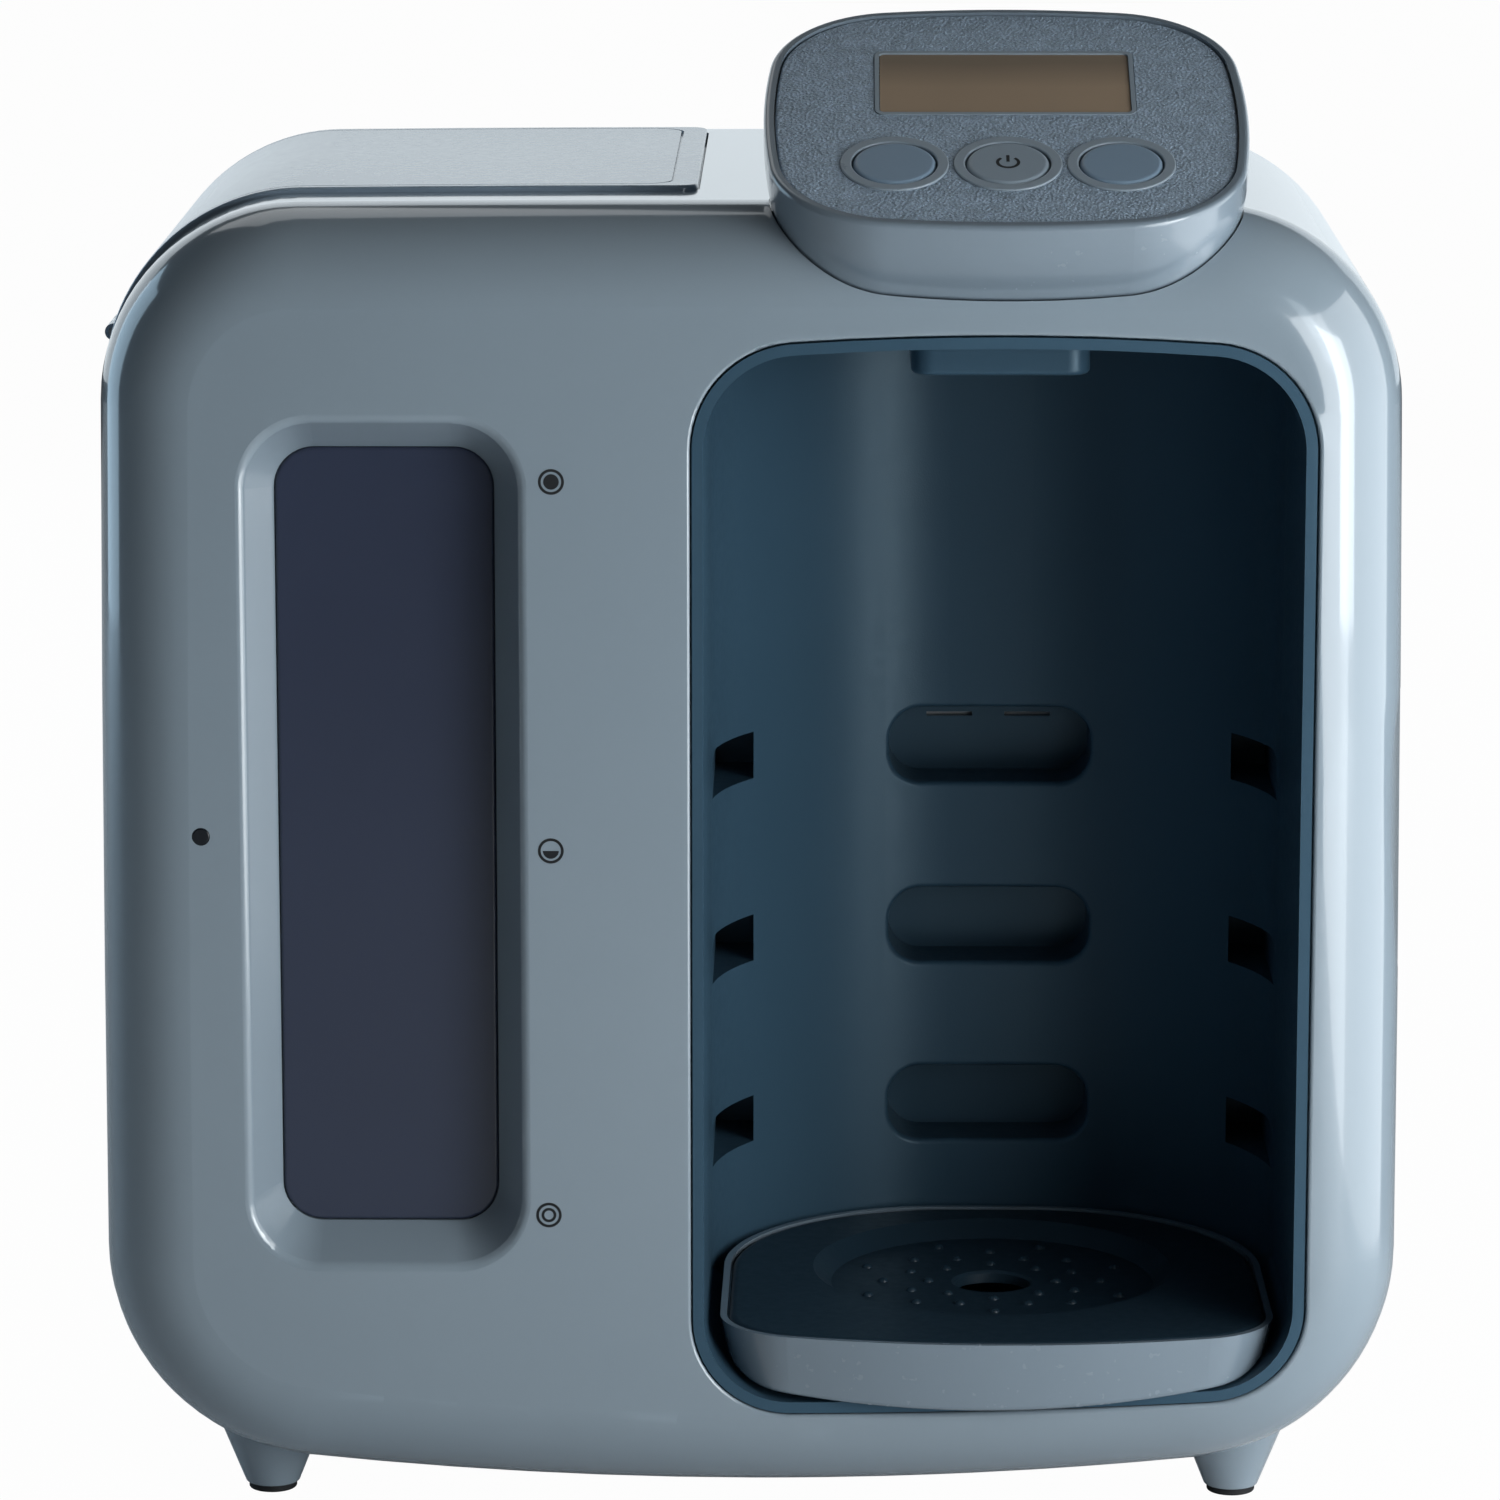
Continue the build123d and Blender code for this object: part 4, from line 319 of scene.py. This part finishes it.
dressed = (
    (shell_material, "front_shell", "rear_housing"),
    (shell_material, "foot_front_left", "foot_front_right", "foot_back_left", "foot_back_right"),
    (rubber_material, "foot_pad_front_left", "foot_pad_front_right"),
    (rubber_material, "foot_pad_back_left", "foot_pad_back_right", "cord_gland"),
    (shell_shade_material, "pod_body", "tray_base"),
    (lit_lid_material, "tank_lid"),
    (back_material, "back_cover"),
    (bay_material, "bay_liner", "nozzle_block"),
    (moulded("plate_satin", PLATE, 0.38, grain=0.00003, spread=0.05), "tray_plate"),
    (smoked("smoked_pane"), "level_window"),
    (moulded("lens_dark", LENS, 0.2, coat=0.3), "indicator_lens"),
    (panel_grain("panel_grain"), "panel_plate"),
    (screen_material, "display_window", "display_module"),
    (ring_material, "display_frame", "left_button_ring", "power_button_ring", "right_button_ring"),
    (dark_key_material, "left_button", "right_button"),
    (moulded("light_key", KEY_LIGHT, 0.3, grain=0.000015), "power_button"),
    (clear("tank_clear", TANK), "tank"),
    (inner_material, "tank_well", "tank_dock", "works_frame", "pump", "filter_basket", "filter_cap"),
    (filter_felt("filter_felt"), "filter_cartridge"),
    (moulded("valve_rubber", VALVE, 0.6, grain=0.00003), "tank_valve"),
    (steel_material, "lid_hinge_pins", "heater", "power_supply"),
    (board_material, "display_board", "main_board"),
    (hose_material, "spout", "key_mat", "feed_hose", "heater_hose", "outlet_hose"),
)
finish_of = {name: material for material, *names in dressed for name in names}

for name, piece in nodes.items():
    finish = finish_of[name]
    if not piece.material_slots:
        piece.data.materials.append(finish)
    for slot in piece.material_slots:
        slot.material = finish

# ------------------------------------------------------------------ printed signs
PRINT_PROUD = 0.00004
PRINT_SUNK = 0.00006
CIRCLE_POINTS = 64
HALF_CIRCLE_STEPS = 24
ARC_STEPS = 40


def sign(name, outlines, place, material, body):
    """Flat printed sign: closed thin solids from (outer, inner) loops, on the plane of place."""
    mesh = bmesh.new()
    for outer, inner in outlines:
        rows = []
        for height in (PRINT_PROUD, -PRINT_SUNK):
            rows.append([mesh.verts.new((x, y, height)) for x, y in outer])
            if inner:
                rows.append([mesh.verts.new((x, y, height)) for x, y in inner])
        count = len(outer)
        if inner:
            top_out, top_in, low_out, low_in = rows
            for i in range(count):
                j = (i + 1) % count
                mesh.faces.new((top_out[i], top_out[j], top_in[j], top_in[i]))
                mesh.faces.new((low_out[j], low_out[i], low_in[i], low_in[j]))
                mesh.faces.new((top_out[j], top_out[i], low_out[i], low_out[j]))
                mesh.faces.new((top_in[i], top_in[j], low_in[j], low_in[i]))
        else:
            top, low = rows
            mesh.faces.new(top)
            mesh.faces.new(low[::-1])
            for i in range(count):
                j = (i + 1) % count
                mesh.faces.new((top[j], top[i], low[i], low[j]))
    bmesh.ops.recalc_face_normals(mesh, faces=mesh.faces)
    mesh.transform(place)
    data = bpy.data.meshes.new(name)
    mesh.to_mesh(data)
    mesh.free()
    data.materials.append(material)
    piece = bpy.data.objects.new(name, data)
    bpy.context.scene.collection.objects.link(piece)
    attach(piece, body)


def circle(radius):
    step = 2 * pi / CIRCLE_POINTS
    return [(radius * cos(i * step), radius * sin(i * step)) for i in range(CIRCLE_POINTS)]


def lower_half(radius):
    turns = [-pi * i / HALF_CIRCLE_STEPS for i in range(HALF_CIRCLE_STEPS + 1)]
    return [(radius * cos(turn), radius * sin(turn)) for turn in turns]


def arc_band(outer, inner, start, end):
    """Closed outline of a ring that is open between end and start."""
    turns = [start + (end - start) * i / ARC_STEPS for i in range(ARC_STEPS + 1)]
    there = [(outer * cos(turn), outer * sin(turn)) for turn in turns]
    back = [(inner * cos(turn), inner * sin(turn)) for turn in reversed(turns)]
    return there + back


def bar(half_width, low, high):
    return [(-half_width, low), (half_width, low), (half_width, high), (-half_width, high)]


# level signs beside the window: full, half and low
SIGN_R = 0.00285
SIGN_LINE = 0.00062
FULL_R = SIGN_R * 0.6
HALF_R = SIGN_R * 0.62
LOW_R = SIGN_R * 0.58
face_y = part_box("front_shell")[0].y


def face_place(x, z):
    """On the face, X right, Y up, Z out of it."""
    return Matrix(((1, 0, 0, x), (0, 0, -1, face_y), (0, 1, 0, z), (0, 0, 0, 1)))


ring_outline = (circle(SIGN_R), circle(SIGN_R - SIGN_LINE))
level_signs = (
    ("sign_full", (circle(FULL_R), None), (-0.0434, 0.2400)),
    ("sign_half", (lower_half(HALF_R), None), (-0.0439, 0.1576)),
    ("sign_low", (circle(LOW_R), circle(LOW_R - SIGN_LINE)), (-0.0448, 0.0745)),
)
for name, inside, (x, z) in level_signs:
    sign(name, [ring_outline, inside], face_place(x, z), print_material, "machine")

# power sign on the middle key, on the slope of the panel
PANEL_TILT = radians(23.0)
POWER_OUTER_R = 0.00265
POWER_INNER_R = 0.00195
POWER_GAP = radians(40)
POWER_BAR_HALF = 0.00036
POWER_BAR_LOW = 0.0003
POWER_BAR_HIGH = 0.0031
UP = radians(90)

ring_low, ring_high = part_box("power_button_ring")
key_middle = (ring_low + ring_high) / 2
out_of_panel = Vector((0, -sin(PANEL_TILT), cos(PANEL_TILT)))
key_top = max(vertex.co.dot(out_of_panel) for vertex in nodes["power_button"].data.vertices)
key_origin = key_middle + out_of_panel * (key_top - key_middle.dot(out_of_panel))
key_place = Matrix((
    (1, 0, 0, key_origin.x),
    (0, cos(PANEL_TILT), -sin(PANEL_TILT), key_origin.y),
    (0, sin(PANEL_TILT), cos(PANEL_TILT), key_origin.z),
    (0, 0, 0, 1),
))
power_arc = arc_band(POWER_OUTER_R, POWER_INNER_R, UP + POWER_GAP, UP + 2 * pi - POWER_GAP)
power_bar = bar(POWER_BAR_HALF, POWER_BAR_LOW, POWER_BAR_HIGH)
sign(
    "power_sign", [(power_arc, None), (power_bar, None)], key_place,
    print_material, "power_key",
)

# ------------------------------------------------------------------ floor
FLOOR_HALF = 6.0
FLOOR_WHITE = 0.98

floor_mesh = bpy.data.meshes.new("floor")
floor_corners = [
    (-FLOOR_HALF, -FLOOR_HALF, 0), (FLOOR_HALF, -FLOOR_HALF, 0),
    (FLOOR_HALF, FLOOR_HALF, 0), (-FLOOR_HALF, FLOOR_HALF, 0),
]
floor_mesh.from_pydata(floor_corners, [], [(0, 1, 2, 3)])
floor = bpy.data.objects.new("floor", floor_mesh)
bpy.context.scene.collection.objects.link(floor)

# white where the camera sees it, also through clear plastic, and a pale grey for the light
floor_look = Look("pale_floor")
speck = floor_look.spread(floor_look.noise(3.0, 2.0), 0.0, 1.0)
floor_look.colour(floor_look.mix(speck, FLOOR_DARK, FLOOR_LIGHT))
floor_look.set(Roughness=0.6)
rays = floor_look.add("ShaderNodeLightPath")
seen = floor_look.math("MAXIMUM", rays.outputs["Is Camera Ray"], rays.outputs["Is Transmission Ray"])
white = floor_look.add("ShaderNodeEmission", Color=(1, 1, 1, 1), Strength=1.0)
blend = floor_look.add("ShaderNodeMixShader")
floor_look.link(floor_look.times(seen, FLOOR_WHITE), blend.inputs[0])
floor_look.link(floor_look.shader.outputs[0], blend.inputs[1])
floor_look.link(white.outputs[0], blend.inputs[2])
floor_look.link(blend.outputs[0], floor_look.tree.nodes["Material Output"].inputs["Surface"])
floor_mesh.materials.append(floor_look.material)

# ------------------------------------------------------------------ light
WORLD_DIM = 0.05
WORLD_SEEN = 1.0

# name, place, aim, width, height, power in watts, colour
soft_lights = (
    ("back_wall", (-0.2, 1.5, 0.68), (-0.2, 0.0, 0.68), 3.6, 1.16, 11.9, COOL_BACK),
    ("right_wall", (0.38, -0.56, 0.22), (-0.5, -0.56, 0.22), 0.52, 0.44, 3.1, COOL),
    ("right_side", (0.38, -0.14, 0.22), (-0.5, -0.14, 0.22), 0.32, 0.44, 0.95, COOL),
    ("right_front", (0.85, -0.76, 0.30), (0.01, 0.02, 0.15), 0.34, 0.54, 3.2, COOL),
    ("left_strip", (-1.15, 0.45, 0.40), (-0.12, 0.0, 0.15), 0.6, 1.0, 3.6, BLUE),
    ("front_fill", (1.25, -1.75, 0.8), (0.05, 0, 0.14), 0.36, 0.9, 1.6, COOL_FILL),
    ("overhead", (-0.35, 0.7, 1.3), (0.06, 0.0, 0.3), 0.6, 0.6, 1.0, COOL),
)
for name, place, aim, width, height, power, colour in soft_lights:
    light = bpy.data.lights.new(name, "AREA")
    light.shape = "RECTANGLE"
    light.size = width
    light.size_y = height
    light.energy = power
    light.color = colour
    lamp = bpy.data.objects.new(name, light)
    lamp.location = place
    lamp.visible_camera = False
    lamp.rotation_euler = (Vector(aim) - Vector(place)).to_track_quat("-Z", "Y").to_euler()
    bpy.context.scene.collection.objects.link(lamp)

# the world is white where it is seen, and dim for the light
world = bpy.data.worlds.new("studio")
bpy.context.scene.world = world
world.use_nodes = True
tree = world.node_tree
rays = tree.nodes.new("ShaderNodeLightPath")
seen = tree.nodes.new("ShaderNodeMath")
seen.operation = "MAXIMUM"
tree.links.new(rays.outputs["Is Camera Ray"], seen.inputs[0])
tree.links.new(rays.outputs["Is Transmission Ray"], seen.inputs[1])
level = tree.nodes.new("ShaderNodeMapRange")
level.inputs["To Min"].default_value = WORLD_DIM
level.inputs["To Max"].default_value = WORLD_SEEN
tree.links.new(seen.outputs[0], level.inputs["Value"])
background = tree.nodes["Background"]
background.inputs["Color"].default_value = (1, 1, 1, 1)
tree.links.new(level.outputs["Result"], background.inputs["Strength"])

# ------------------------------------------------------------------ camera
CAMERA_PLACE = (0.0165, -1.5305, 0.4682)
CAMERA_DOWN = 11.24
CAMERA_LEFT = 0.65

camera_data = bpy.data.cameras.new("camera")
camera_data.lens = 161.04
camera_data.sensor_width = 36.0
camera_data.clip_start = 0.1
camera_data.clip_end = 30.0
camera = bpy.data.objects.new("camera", camera_data)
camera.location = CAMERA_PLACE
camera.rotation_euler = (radians(90 - CAMERA_DOWN), 0.0, radians(CAMERA_LEFT))
bpy.context.scene.collection.objects.link(camera)
bpy.context.scene.camera = camera

bpy.context.scene.view_settings.view_transform = "Standard"
